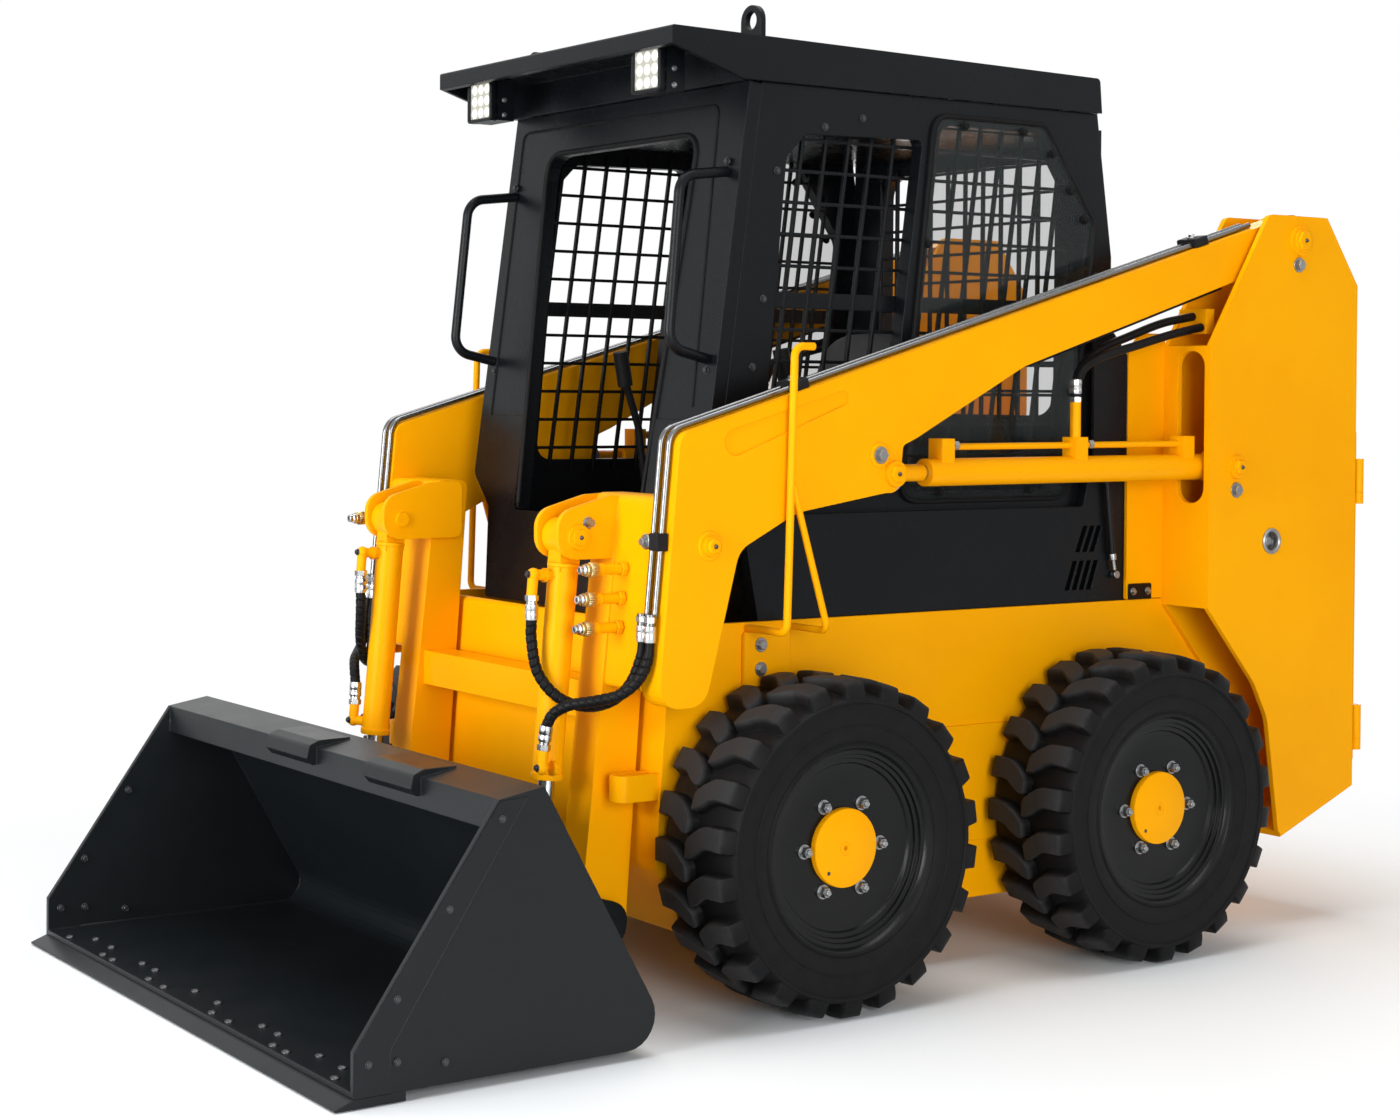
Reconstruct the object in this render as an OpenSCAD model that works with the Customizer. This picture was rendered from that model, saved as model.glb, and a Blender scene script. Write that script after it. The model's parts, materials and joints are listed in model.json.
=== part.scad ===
// Skid steer loader with a bucket on two side arms.
// Millimetres. +X to the bucket, +Y to the machine's left, +Z up, wheels on z = 0.
// Lengths along X are written from the middle of the wheelbase, and in_frame() moves
// the whole machine so that its origin is under the middle of its length.

/* [Wheels] */
// Distance between the front and rear axles
wheelbase = 1000; // [960:5:1060]
// Diameter over the tyre lugs
tyre_d = 760; // [730:5:780]
// Width of a tyre
tyre_w = 264; // [240:2:280]
// Gap between the tub's side and a tyre
tyre_gap = 14; // [10:1:40]
// Diameter of the rim at the tyre bead
rim_d = 446; // [430:2:460]
// Diameter of the hub cap
hub_d = 178; // [150:2:190]
// Diameter of the axle spindle inside the hub
spindle_d = 80; // [60:2:90]

/* [Chassis] */
// Width of the tub over its side plates
tub_w = 1084; // [1040:2:1092]
// Front wall of the tub, ahead of mid-wheelbase
tub_front = 850; // [820:5:860]
// Rear wall of the tub, behind mid-wheelbase
tub_rear = 1300; // [1250:5:1310]
// Ground clearance under the belly
belly_z = 160; // [140:5:200]
// Height of the sill's top edge
sill_z = 868; // [840:2:880]
// Thickness of the tub's plates
tub_wall = 14; // [10:1:20]

/* [Towers] */
// Width of a tower over its plates
tower_w = 158; // [154:1:168]
// Rear edge of a tower, behind mid-wheelbase
tower_rear = 1325; // [1315:5:1340]
// Height of a tower
tower_z = 1868; // [1850:2:1890]
// Thickness of the tower plates
tower_plate = 14; // [10:1:16]

/* [Lift arms] */
// Gap between the tub's side and an arm
arm_gap = 57; // [52:1:62]
// Width of an arm box
arm_w = 74; // [70:1:78]
// Arm pivot, behind mid-wheelbase
pivot_back = 1092; // [1080:2:1100]
// Arm pivot height
pivot_z = 1803; // [1795:1:1810]
// Diameter of the arm pivot pin
pivot_pin_d = 60; // [50:2:66]
// Inner face of a leg, from the middle plane
leg_y = 365; // [355:1:372]
// Width of a leg
leg_w = 95; // [85:1:105]
// Bucket pivot, ahead of mid-wheelbase
bucket_pivot_x = 935; // [930:1:945]
// Bucket pivot height
bucket_pivot_z = 195; // [190:1:205]
// Diameter of the bucket pivot pins
bucket_pin_d = 45; // [36:1:50]

/* [Cylinders] */
// Outer diameter of a lift barrel
lift_barrel_d = 66; // [60:1:72]
// Diameter of a lift rod
lift_rod_d = 36; // [30:1:40]
// Lift rod pin, ahead of mid-wheelbase
lift_pin_x = 274; // [268:1:280]
// Lift rod pin height
lift_pin_z = 1209; // [1205:1:1213]
// Lift barrel pin, behind mid-wheelbase
lift_base_back = 856; // [850:1:862]
// Lift barrel pin height
lift_base_z = 1213; // [1209:1:1217]
// Outer diameter of a tilt barrel
tilt_barrel_d = 68; // [62:1:72]
// Diameter of a tilt rod
tilt_rod_d = 38; // [32:1:42]
// Middle plane of a tilt cylinder
tilt_y = 401; // [399:1:403]
// Tilt barrel pin, ahead of mid-wheelbase
tilt_top_x = 1005; // [1000:1:1012]
// Tilt barrel pin height
tilt_top_z = 1069; // [1065:1:1075]
// Tilt rod pin, ahead of mid-wheelbase
tilt_low_x = 1068; // [1064:1:1072]
// Tilt rod pin height
tilt_low_z = 322; // [318:1:326]
// Diameter of the cylinder pins
cyl_pin_d = 36; // [30:1:40]

/* [Cab] */
// Step in from the tub's side to the cab's
cab_step = 37; // [35:1:47]
// Lower front corner of the cab, ahead of mid-wheelbase
cab_front = 676; // [660:2:684]
// Rear face of the cab, behind mid-wheelbase
cab_rear = 600; // [580:5:610]
// Lean of the cab's front, from upright
cab_lean = 7.7; // [5:0.1:9]
// Height of the side panels' top edge
cab_top_z = 2115; // [2105:1:2125]
// Height of the visor's front edge
visor_z = 2222; // [2210:1:2235]
// Front edge of the visor, ahead of mid-wheelbase
visor_x = 807; // [795:1:812]
// Overhang of the roof at each side of the cab
roof_over = 14; // [12:1:20]
// Thickness of the cab's panels
cab_wall = 36; // [30:1:44]
// Diameter of the grab handles
handle_d = 25; // [20:1:30]

// Diameter of the hole in a lifting eye
eye_hole_d = 42; // [36:1:46]

/* [Bucket] */
// Width over the side plates
bucket_w = 1632; // [1600:2:1638]
// Front tip of the cutting edge, ahead of mid-wheelbase
bucket_tip = 1797; // [1785:1:1810]
// Heel corner of the bucket before rounding, ahead of mid-wheelbase
bucket_heel = 992; // [988:1:1000]
// Height of the top edge
bucket_z = 593; // [585:1:600]
// Thickness of the bucket's plates
bucket_wall = 12; // [8:1:14]

/* [Rear door] */
// Thickness of the rear door
door_t = 30; // [24:1:36]
// Lower edge of the rear door
door_z0 = 420; // [400:5:450]
// Upper edge of the rear door
door_z1 = 1300; // [1250:5:1340]

/* [Hidden] */
$fn = 64;

// Colours
yellow = "#f7a600";
black = "#202326";
dark = "#2b2e31";
steel = "#b9bdc1";
rubber = "#262628";

// Clearances
seat_gap = 0.3;
run_gap = 0.05;
eps = 1;

// Where the machine's middle lies
hinge_r = 13;
door_x0 = tower_rear + 5;
door_x1 = door_x0 + door_t;
rear_end = door_x1 + 14;
x_mid = (bucket_tip - rear_end) / 2;

// Shared places
wheel_x = wheelbase / 2;
wheel_r = tyre_d / 2;
tub_y = tub_w / 2;
tyre_in = tub_y + tyre_gap;
tyre_out = tyre_in + tyre_w;
tyre_mid = tyre_in + tyre_w / 2;
tower_y = tub_y + tower_w;
arm_y = tub_y + arm_gap;
arm_out = arm_y + arm_w;
arm_mid = arm_y + arm_w / 2;
arm_pivot = [-pivot_back, pivot_z];
lift_pin = [lift_pin_x, lift_pin_z];
lift_base = [-lift_base_back, lift_base_z];
tilt_top = [tilt_top_x, tilt_top_z];
tilt_low = [tilt_low_x, tilt_low_z];
bucket_pivot = [bucket_pivot_x, bucket_pivot_z];
cab_y = tub_y - cab_step;
roof_y = cab_y + roof_over;

// Corner rounding: the outline of a polygon whose corners are [x, y, radius]
function unit(v) = v / norm(v);
function xy(p) = [p[0], p[1]];
function corner(a, b, c, r, n) =
  r <= 0 ? [b] :
  let (u = unit(a - b), v = unit(c - b), half = acos(u * v) / 2,
       o = b + unit(u + v) * r / sin(half), s = b + u * r / tan(half) - o,
       turn = sign(cross(b - a, c - b)) * (180 - 2 * half), a0 = atan2(s[1], s[0]))
  [for (i = [0 : n]) o + r * [cos(a0 + turn * i / n), sin(a0 + turn * i / n)]];
function rounded(p, n = 6) = let (k = len(p))
  [for (i = [0 : k - 1]) each corner(xy(p[(i + k - 1) % k]), xy(p[i]), xy(p[(i + 1) % k]),
    len(p[i]) > 2 ? p[i][2] : 0, n)];

// Plates with an outline in one plane and faces at two places on the third axis
module plate_xz(outline, y0, y1) translate([0, y1, 0]) rotate([90, 0, 0]) linear_extrude(y1 - y0) polygon(outline);
module plate_yz(outline, x0, x1) translate([x0, 0, 0]) rotate([90, 0, 90]) linear_extrude(x1 - x0) polygon(outline);
module plate_xy(outline, z0, z1) translate([0, 0, z0]) linear_extrude(z1 - z0) polygon(outline);
module block(lo, hi) translate(lo) cube(hi - lo);

// Round bars, across the machine at p = [x, z] or between two points
module pin_y(p, y0, y1, r) translate([p[0], y1, p[1]]) rotate([90, 0, 0]) cylinder(h = y1 - y0, r = r);
module bar(a, b, r) {
  v = b - a;
  translate(a) rotate([0, acos(v[2] / norm(v)), atan2(v[1], v[0])]) cylinder(h = norm(v), r = r);
}

// Bent pipe through points, each bend a torus piece of the given radius; the straight
// lengths are a hair thinner and lapped into the bends, so that they fuse cleanly
lap = 1;
skin = 0.1;
module bend(a, p, b, r, turn_r) {
  u = unit(a - p);
  v = unit(b - p);
  half = acos(u * v) / 2;
  o = p + unit(u + v) * turn_r / sin(half);
  ex = unit(p + u * turn_r / tan(half) - o);
  ez = unit(cross(v, u));
  ey = cross(ez, ex);
  multmatrix([for (i = [0 : 2]) [ex[i], ey[i], ez[i], o[i]]])
    rotate_extrude(angle = 180 - 2 * half) translate([turn_r, 0]) circle(r = r);
}
function bend_cut(a, p, b, turn_r) = turn_r / tan(acos(unit(a - p) * unit(b - p)) / 2);
module pipe(p, r, turn_r) {
  k = len(p) - 1;
  for (i = [0 : k - 1]) {
    u = unit(p[i + 1] - p[i]);
    cut0 = i == 0 ? 0 : bend_cut(p[i - 1], p[i], p[i + 1], turn_r);
    cut1 = i == k - 1 ? 0 : bend_cut(p[i], p[i + 1], p[i + 2], turn_r);
    bar(p[i] + u * (i == 0 ? 0 : cut0 - lap), p[i + 1] - u * (i == k - 1 ? 0 : cut1 - lap), r - skin);
  }
  for (i = [1 : k - 1]) bend(p[i - 1], p[i], p[i + 1], r, turn_r);
}

// Hose: an eight-sided tube swept along a smooth curve through its points; side points
// across the curve, so that the rings don't twist
hose_sides = 8;
function at(p, i) = p[min(max(i, 0), len(p) - 1)];
function spline(p, i, t) = let (a = at(p, i - 1), b = at(p, i), c = at(p, i + 1), d = at(p, i + 2))
  0.5 * (2 * b + (c - a) * t + (2 * a - 5 * b + 4 * c - d) * t * t + (3 * b - a - 3 * c + d) * t * t * t);
function smooth(p, n) = [for (i = [0 : len(p) - 2]) for (j = [0 : n - 1]) spline(p, i, j / n), at(p, len(p))];
function ring(c, dir, r, side) = let (u = unit(cross(dir, side)), v = cross(unit(dir), u))
  [for (k = [0 : hose_sides - 1]) c + r * (cos(360 * k / hose_sides) * u + sin(360 * k / hose_sides) * v)];
module hose(p, r, side, n = 2) {
  q = smooth(p, n);
  m = len(q);
  s = hose_sides;
  points = [for (i = [0 : m - 1]) each ring(q[i], at(q, i + 1) - at(q, i - 1), r, side)];
  sides = [for (i = [0 : m - 2]) for (k = [0 : s - 1]) let (a = i * s + k, b = i * s + (k + 1) % s)
    each [[a, b, b + s], [a, b + s, a + s]]];
  caps = [for (k = [1 : s - 2]) each [[0, k + 1, k], [(m - 1) * s, (m - 1) * s + k, (m - 1) * s + k + 1]]];
  polyhedron(points, concat(sides, caps));
}

// Left piece, or the same piece mirrored to the right
module on(side) mirror([0, side < 0 ? 1 : 0, 0]) children();
module both() for (side = [1, -1]) on(side) children();
module in_frame() translate([-x_mid, 0, 0]) children();

// CHASSIS

// Tie-down loop on the tub's front wall
loop_z = 480;
loop_root = 18;
loop_bar = [14, 60];
loop_out = 96;
loop_y = [478, 534];

// Lean of the front wall, so that the legs clear it
tub_lean = 38;

module chassis_tub() color(yellow) {
  side = rounded([[tub_front - tub_lean, sill_z, 20], [tub_front, 330, 60], [tub_front - 90, belly_z, 40],
    [-tub_rear + 260, belly_z, 40], [-tub_rear, 330, 40], [-tub_rear, sill_z]]);
  inner = rounded([[tub_front - tub_wall - tub_lean, sill_z + eps], [tub_front - tub_wall, 335, 50],
    [tub_front - 96, belly_z + tub_wall, 30], [-tub_rear + 266, belly_z + tub_wall, 30],
    [-tub_rear + tub_wall, 335, 30], [-tub_rear + tub_wall, sill_z + eps]]);
  difference() {
    plate_xz(side, -tub_y, tub_y);
    plate_xz(inner, -tub_y + tub_wall, tub_y - tub_wall);
    for (x = [-wheel_x, wheel_x]) pin_y([x, wheel_r], -tub_y - eps, tub_y + eps, axle_r - 20);
  }
  both() {
    // Tie-down loop
    difference() {
      plate_xy(rounded([[tub_front - loop_root, loop_y[0]], [tub_front + loop_out, loop_y[0], 26],
        [tub_front + loop_out, loop_y[1], 26], [tub_front - loop_root, loop_y[1]]]), loop_z, loop_z + loop_bar[1]);
      plate_xy(rounded([[tub_front - loop_root - eps, loop_y[0] + loop_bar[0]],
        [tub_front + loop_out - loop_bar[0], loop_y[0] + loop_bar[0], 13],
        [tub_front + loop_out - loop_bar[0], loop_y[1] - loop_bar[0], 13],
        [tub_front - loop_root - eps, loop_y[1] - loop_bar[0]]]), loop_z - eps, loop_z + loop_bar[1] + eps);
    }
  }
}

// Axle housings between the tub and the wheels
axle_r = 72;
hub_face = tyre_out - 78;
hub_in = hub_face - 92;
module axle_housings() color(dark) both() for (x = [-wheel_x, wheel_x]) {
  pin_y([x, wheel_r], tub_y, hub_in - seat_gap, axle_r);
  pin_y([x, wheel_r], hub_in - 20, hub_in - seat_gap, axle_r + 14);
  pin_y([x, wheel_r], hub_in - 10, hub_in + 60, spindle_d / 2);
}

// TOWERS

tower_in = tub_y;
tower_front = 758;
slot_y = [592, 680];
slot_z = [1120, 1510];
hose_block = [[-830, -800], 646, [1555, 1620]];
knuckle_z = [480, 1140];
knuckle_h = 90;
knuckle_x = -door_x0 - door_t / 2;
door_hinge_y = tower_y - 6;
hinge_pin_r = 6;
function tower_outline() = rounded([[-975, tower_z, 24], [-1200, tower_z, 30], [-tower_rear, 1692, 20],
  [-tower_rear, 355, 30], [-1035, 241, 20], [-985, 558, 120], [-933, 653, 60], [-tower_front, 852],
  [-tower_front, 1524, 6]]);
module tower(side) color(yellow) on(side) {
  difference() {
    union() {
      plate_xz(tower_outline(), tower_y - tower_plate, tower_y);
      plate_xz(tower_outline(), tower_in, tower_in + tower_plate);
      // Front plate with the slot that the lift barrel swings in
      difference() {
        block([-tower_front - tower_plate, tower_in, 852], [-tower_front, tower_y, 1524]);
        plate_yz(rounded([[slot_y[0], slot_z[0], 40], [slot_y[1], slot_z[0], 40], [slot_y[1], slot_z[1], 40],
          [slot_y[0], slot_z[1], 40]]), -tower_front - tower_plate - eps, -tower_front + eps);
      }
      // Rear plate and the slanted plate over it
      block([-tower_rear, tower_in, 355], [-tower_rear + tower_plate, tower_y, 1692]);
      plate_xz([[-tower_rear, 1692], [-tower_rear + tower_plate, 1690], [-1200 + tower_plate, tower_z - 6],
        [-1200, tower_z]], tower_in, tower_y);
      // Floor plate along the lower edge
      plate_xz([[-1040, 243], [-1040, 258], [-tower_rear, 371], [-tower_rear, 355]], tower_in, tower_y);
      // Pivot pins of the arm and of the lift barrel, with their heads and locking bolts
      pin_y(arm_pivot, tower_in, tower_y + 16, pivot_pin_d / 2);
      pin_y(arm_pivot, tower_y, tower_y + 10, 40);
      pin_y(lift_base, tower_in, tower_y + 16, cyl_pin_d / 2);
      pin_y(lift_base, tower_y, tower_y + 10, 30);
    }
    // Round port in the outer plate
    pin_y([-993, 1019], tower_y - tower_plate - eps, tower_y + eps, 24);
  }
  // Block that the lift hoses end at
  block([hose_block[0][0], tower_in + tower_plate - eps, hose_block[2][0]], [hose_block[0][1], hose_block[1], hose_block[2][1]]);
  // Hinge pins of the rear door, on the left tower only
  if (side > 0) for (z = knuckle_z) {
    translate([knuckle_x, door_hinge_y, z - 30 - seat_gap]) cylinder(h = 30, r = hinge_r);
    block([knuckle_x, door_hinge_y - hinge_r, z - 30 - seat_gap], [-tower_rear + eps, door_hinge_y, z - seat_gap]);
    translate([knuckle_x, door_hinge_y, z - 20]) cylinder(h = knuckle_h + 16, r = hinge_pin_r);
  }
}

module engine_block() color("dimgray") plate_xz([[-720, belly_z + tub_wall + seat_gap], [-tub_rear + 290, belly_z + tub_wall + seat_gap],
  [-tub_rear + 60, 330], [-tub_rear + 60, 1010], [-720, 1010]], -260, 260);

hood_front = cab_rear + 8;
hood_rear = tower_rear - 16;
hood_step = tower_front - 6;
hood_narrow = cab_y - 2;
module hood_solid(shrink) {
  plate_xz([[-hood_front - shrink, sill_z + seat_gap - shrink], [-hood_rear + shrink, sill_z + seat_gap - shrink],
    [-hood_rear + shrink, 1290 - shrink], [-hood_front - shrink, 1330 - shrink]], -hood_narrow + shrink, hood_narrow - shrink);
  plate_xz([[-hood_step - shrink, sill_z + seat_gap - shrink], [-hood_rear + shrink, sill_z + seat_gap - shrink],
    [-hood_rear + shrink, 1290 - shrink], [-hood_step - shrink, 1320 - shrink]], -tub_y + seat_gap + shrink, tub_y - seat_gap - shrink);
}
module engine_hood() color(yellow) difference() {
  hood_solid(0);
  hood_solid(tub_wall);
}

// CAB

// Places on the leaning front plane
function lean_x(z) = cab_front - (z - 1365) * tan(cab_lean);
side_low_z = sill_z + seat_gap;
module cab_front_frame() color(black)
  translate([cab_front, 0, 1365]) rotate([0, -cab_lean, 0]) {
    h = (cab_top_z - 1365) / cos(cab_lean);
    difference() {
      plate_yz(rounded([[-cab_y, -40], [-cab_y + 60, -60, 30], [-330, -270, 20], [330, -270, 20],
        [cab_y - 60, -60, 30], [cab_y, -40], [cab_y, h], [-cab_y, h]]), -cab_wall, 0);
      plate_yz(rounded([[-270, -280], [270, -280], [330, h - 110, 60], [-330, h - 110, 60]]), -cab_wall - eps, eps);
    }
  }

// Openings in a side panel: the front one is open to the grille, the rear one holds a pane
grille_hole = [[532, 1212, 40], [466, 1945, 20], [409, 2002, 20], [46, 2010, 15], [150, 1212, 25]];
pane_hole = [[96, 1155, 50], [-8, 2052, 45], [-352, 2052, 40], [-512, 1828, 40], [-428, 1155, 50]];
pane_edge = [[120, 1131, 60], [14, 2077, 55], [-362, 2077, 45], [-538, 1832, 45], [-450, 1131, 60]];
frame_t = cab_wall / cos(cab_lean) + seat_gap;
module cab_side(side) color(black) on(side) difference() {
  plate_xz(rounded([[lean_x(1365) - frame_t, 1365], [lean_x(cab_top_z) - frame_t, cab_top_z],
    [-cab_rear + 55, cab_top_z], [-cab_rear, 1750, 30], [-cab_rear, side_low_z], [560, side_low_z],
    [600, 1200, 40]]), cab_y - cab_wall, cab_y);
  plate_xz(rounded(grille_hole), cab_y - cab_wall - eps, cab_y + eps);
  plate_xz(rounded(pane_hole), cab_y - cab_wall - eps, cab_y + eps);
}

rear_hole_y = cab_y - 165;
module cab_rear_panel() color(black) difference() {
  block([-cab_rear + 2, -cab_y + cab_wall + seat_gap, side_low_z], [-cab_rear + 2 + cab_wall, cab_y - cab_wall - seat_gap, 2080]);
  plate_yz(rounded([[-rear_hole_y, 1340, 60], [rear_hole_y, 1340, 60], [rear_hole_y, 2010, 60], [-rear_hole_y, 2010, 60]]),
    -cab_rear - eps, -cab_rear + cab_wall + 2 + eps);
}

recess_z = 2200;
module cab_roof() color(black) difference() {
  plate_xz(rounded([[visor_x, visor_z - 42], [visor_x, visor_z, 6], [-540, 2204, 12], [-548, cab_top_z + seat_gap],
    [600, cab_top_z + seat_gap]]), -roof_y, roof_y);
  // Recess under the visor that the work lamps hang in
  block([590, -roof_y + 12, cab_top_z - eps], [visor_x - 12, roof_y - 12, recess_z]);
}

// Grilles of flat bars behind the side openings and the rear one, the side ones' uprights leaning with the cab
grille_bar = 8;
grille_deep = 10;
grille_x = 70;
grille_z = 75;
band_z = [1594, 1632];
grille_edge = [[562, 1182, 40], [492, 1960, 20], [420, 2032, 20], [20, 2040], [-20, 2080], [-360, 2080, 40],
  [-542, 1834, 40], [-458, 1125, 50], [120, 1125, 20], [140, 1182, 10]];
module grille_xz(x0, x1, z0, z1, y, lean) {
  shift = (z1 - z0) * tan(lean);
  for (x = [x0 : grille_x : x1])
    plate_xz([[x, z1], [x + shift, z0], [x + shift + grille_bar, z0], [x + grille_bar, z1]], y, y + grille_deep);
  for (z = [z0 + grille_bar : grille_z : z1]) block([x0, y + 2, z - grille_bar], [x1 + grille_bar, y + grille_deep - 2, z]);
}
module side_grille(y) intersection() {
  plate_xz(rounded(grille_edge), y, y + grille_deep);
  union() {
    grille_xz(-680, 580, 1090, 2085, y, cab_lean);
    block([-680, y + 1, band_z[0]], [580, y + grille_deep - 1, band_z[1]]);
  }
}
module window_grilles() color(black) {
  both() side_grille(cab_y - cab_wall - grille_deep - seat_gap);
  rotate([0, 0, 90]) grille_xz(-rear_hole_y - 10, rear_hole_y + 10 - grille_bar, 1325, 2025,
    cab_rear - 2 - cab_wall - grille_deep - seat_gap, 0);
}

module side_windows() color("darkslategray", 0.4) both() plate_xz(rounded(pane_edge), cab_y + seat_gap, cab_y + 8);

floor_top = 484;
module cab_floor() color(black)
  block([-cab_rear + 10, -tub_y + tub_wall, floor_top - 14], [tub_front - 60, tub_y - tub_wall, floor_top]);

panel_rear = 725;
panel_y = tub_y - 8;
vent_w = 17;
vent_lean = 27;
vent_deep = 20;
module vent(x, z0, z1) plate_xz([[x, z0], [x + vent_w, z0], [x + vent_w - vent_lean, z1], [x - vent_lean, z1]],
  panel_y - vent_deep, panel_y + eps);
module lower_side_panels() color(black) both() difference() {
  plate_xz(rounded([[560, side_low_z], [600, 1062, 40], [560, 1112, 30], [-480, 1112, 15], [-500, 1200, 15],
    [-cab_rear, 1200], [-panel_rear, 1150, 20], [-panel_rear, side_low_z]]), cab_y + seat_gap, panel_y);
  for (i = [0 : 3]) vent(-434 - 25 * i, 900, 974);
  for (i = [0 : 2]) vent(-470 - 25 * i, 996, 1062);
}

// Seat on its base, between two consoles that carry the levers
console_w = 90;
console_z = 1100;
console_y = cab_y - cab_wall - 69 - console_w / 2;
base_y = console_y - console_w / 2 - 10;
base_z = 990;
seat_back = 150;
module seat() color(black) {
  plate_xz(rounded([[300, base_z, 30], [310, base_z + 100, 40], [-seat_back, base_z + 80, 30], [-seat_back, base_z, 20]]),
    -base_y + 60, base_y - 60);
  plate_xz(rounded([[-seat_back - seat_gap, base_z], [-seat_back - seat_gap, base_z + 100, 20], [-seat_back - 85, base_z + 570, 50],
    [-seat_back - 180, base_z + 570, 40], [-seat_back - 120, base_z]]), -base_y + 75, base_y - 75);
}
module seat_base() color(black) {
  block([-280, -base_y, floor_top + seat_gap], [290, base_y, base_z - seat_gap]);
  both() block([-200, console_y - console_w / 2, floor_top + seat_gap], [330, console_y + console_w / 2, console_z]);
}

module control_levers() color(black) both() {
  pipe([[250, console_y, console_z + 2], [280, console_y, 1300], [330, console_y - 10, 1420]], 10, 60);
  bar([330, console_y - 10, 1410], [350, console_y - 13, 1500], 20);
}

handle_y = cab_y - 35;
module grab_handles() color(black) both()
  pipe([[lean_x(1906) + 3.6, handle_y - 8, 1906], [745, handle_y, 1890], [782, handle_y + 8, 1497],
    [lean_x(1471) + 2.5, handle_y, 1471]], handle_d / 2, 50);

lamp_y = cab_y - 134;
module work_lamps() color(black) both() {
  block([705, lamp_y - 56, 2086], [765, lamp_y + 56, 2190]);
  block([690, lamp_y - 14, 2130], [705 + eps, lamp_y + 14, recess_z - seat_gap]);
}
module lamp_lenses() color("white") both() block([765 + seat_gap, lamp_y - 49, 2094], [771, lamp_y + 49, 2182]);

eye_x = 540;
eye_y = cab_y - 35;
eye_z = visor_z - (visor_x - eye_x) * (visor_z - 2204) / (visor_x + 540) + seat_gap;
module lifting_eye() color(black) both() difference() {
  plate_yz(rounded([[eye_y - 38, eye_z], [eye_y + 38, eye_z], [eye_y + 38, eye_z + 76, 37], [eye_y - 38, eye_z + 76, 37]]),
    eye_x - 7, eye_x + 7);
  translate([eye_x - 8, eye_y, eye_z + 40]) rotate([0, 90, 0]) cylinder(h = 16, r = eye_hole_d / 2);
}

rod_y = arm_out + 17;
module arm_stop_rods() color(yellow) both() {
  pipe([[530, rod_y, 1500], [584, rod_y, 1500], [600, rod_y, 856], [600, tub_y + seat_gap, 856]], 9, 24);
  pipe([[587, rod_y, 1190], [482, rod_y, 856], [482, tub_y + seat_gap, 856]], 8, 24);
}

module tail_lamps() color("firebrick") both() block([-tower_rear - 14, 590, 1400], [-tower_rear - seat_gap, 660, 1520]);

// REAR DOOR

// Air slots in two columns
slot_rows = 9;
slot_low = 920;
slot_pitch = 36;
slot_len = 520;
slot_bar = 50;
module rear_door() color(yellow) difference() {
  union() {
    block([-door_x1, -tower_y + 12, door_z0], [-door_x0, tower_y - 26, door_z1]);
    for (z = knuckle_z) {
      translate([knuckle_x, door_hinge_y, z]) cylinder(h = knuckle_h, r = hinge_r);
      block([knuckle_x - 4, tower_y - 40, z], [knuckle_x + 4, door_hinge_y, z + knuckle_h]);
    }
    // Latch handle
    bar([-door_x1 + eps, -560, 860], [-rear_end, -560, 860], 20);
  }
  for (z = knuckle_z) translate([knuckle_x, door_hinge_y, z - eps])
    cylinder(h = knuckle_h + 2 * eps, r = hinge_pin_r + run_gap);
  for (i = [0 : slot_rows - 1]) for (y = [-slot_len - slot_bar / 2, slot_bar / 2])
    block([-door_x1 - eps, y, slot_low + slot_pitch * i], [-door_x0 + eps, y + slot_len, slot_low + slot_pitch * i + slot_pitch / 2]);
}

// WHEELS

// Tyre as rings of points from bead to bead. Each lug has four points on a ring: low, high,
// high and low, at lug_at of its pitch; its inner end leans back by lug_hook of a pitch.
lug_count = 22;
lug_h = 28;
lug_at = [0.2, 0.27, 0.73, 0.8];
lug_hook = 0.32;
pitch = 360 / lug_count;
foot_turn = 90 - pitch * (lug_at[1] - lug_hook);
function wheel_point(r, w, step) = [r * cos(foot_turn + pitch * step), r * sin(foot_turn + pitch * step), w];
function plain_ring(r, w, row) = [for (k = [0 : lug_count - 1]) wheel_point(r / cos(pitch / 2), w, k + row)];
function lug_ring(low, high, row) = [for (k = [0 : lug_count - 1]) for (j = [0 : 3])
  let (p = j == 1 || j == 2 ? high : low) wheel_point(p[0], p[1], k + row + lug_at[j])];
function tyre_side(s, row) = let (half = tyre_w / 2, bead = rim_d / 2) [
  plain_ring(bead, s * (half - 30), row), plain_ring(bead + 14, s * (half - 8), row),
  plain_ring(wheel_r - 95, s * (half - 6), row),
  lug_ring([wheel_r - 74, s * (half - 12)], [wheel_r - 64, s * half], row),
  lug_ring([wheel_r - lug_h - 8, s * (half - 36)], [wheel_r - 6, s * (half - 22)], row),
  lug_ring([wheel_r - lug_h, s * 12], [wheel_r, s * 8], row - lug_hook)];
// Faces between two rings of n points from a and b, the second taken back by some points
function band(a, b, n, back) = [for (k = [0 : n - 1]) let (m = (k + 1) % n, q = b + (k + n - back) % n, t = b + (m + n - back) % n)
  each [[a + k, q, t], [a + k, t, a + m]]];
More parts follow.
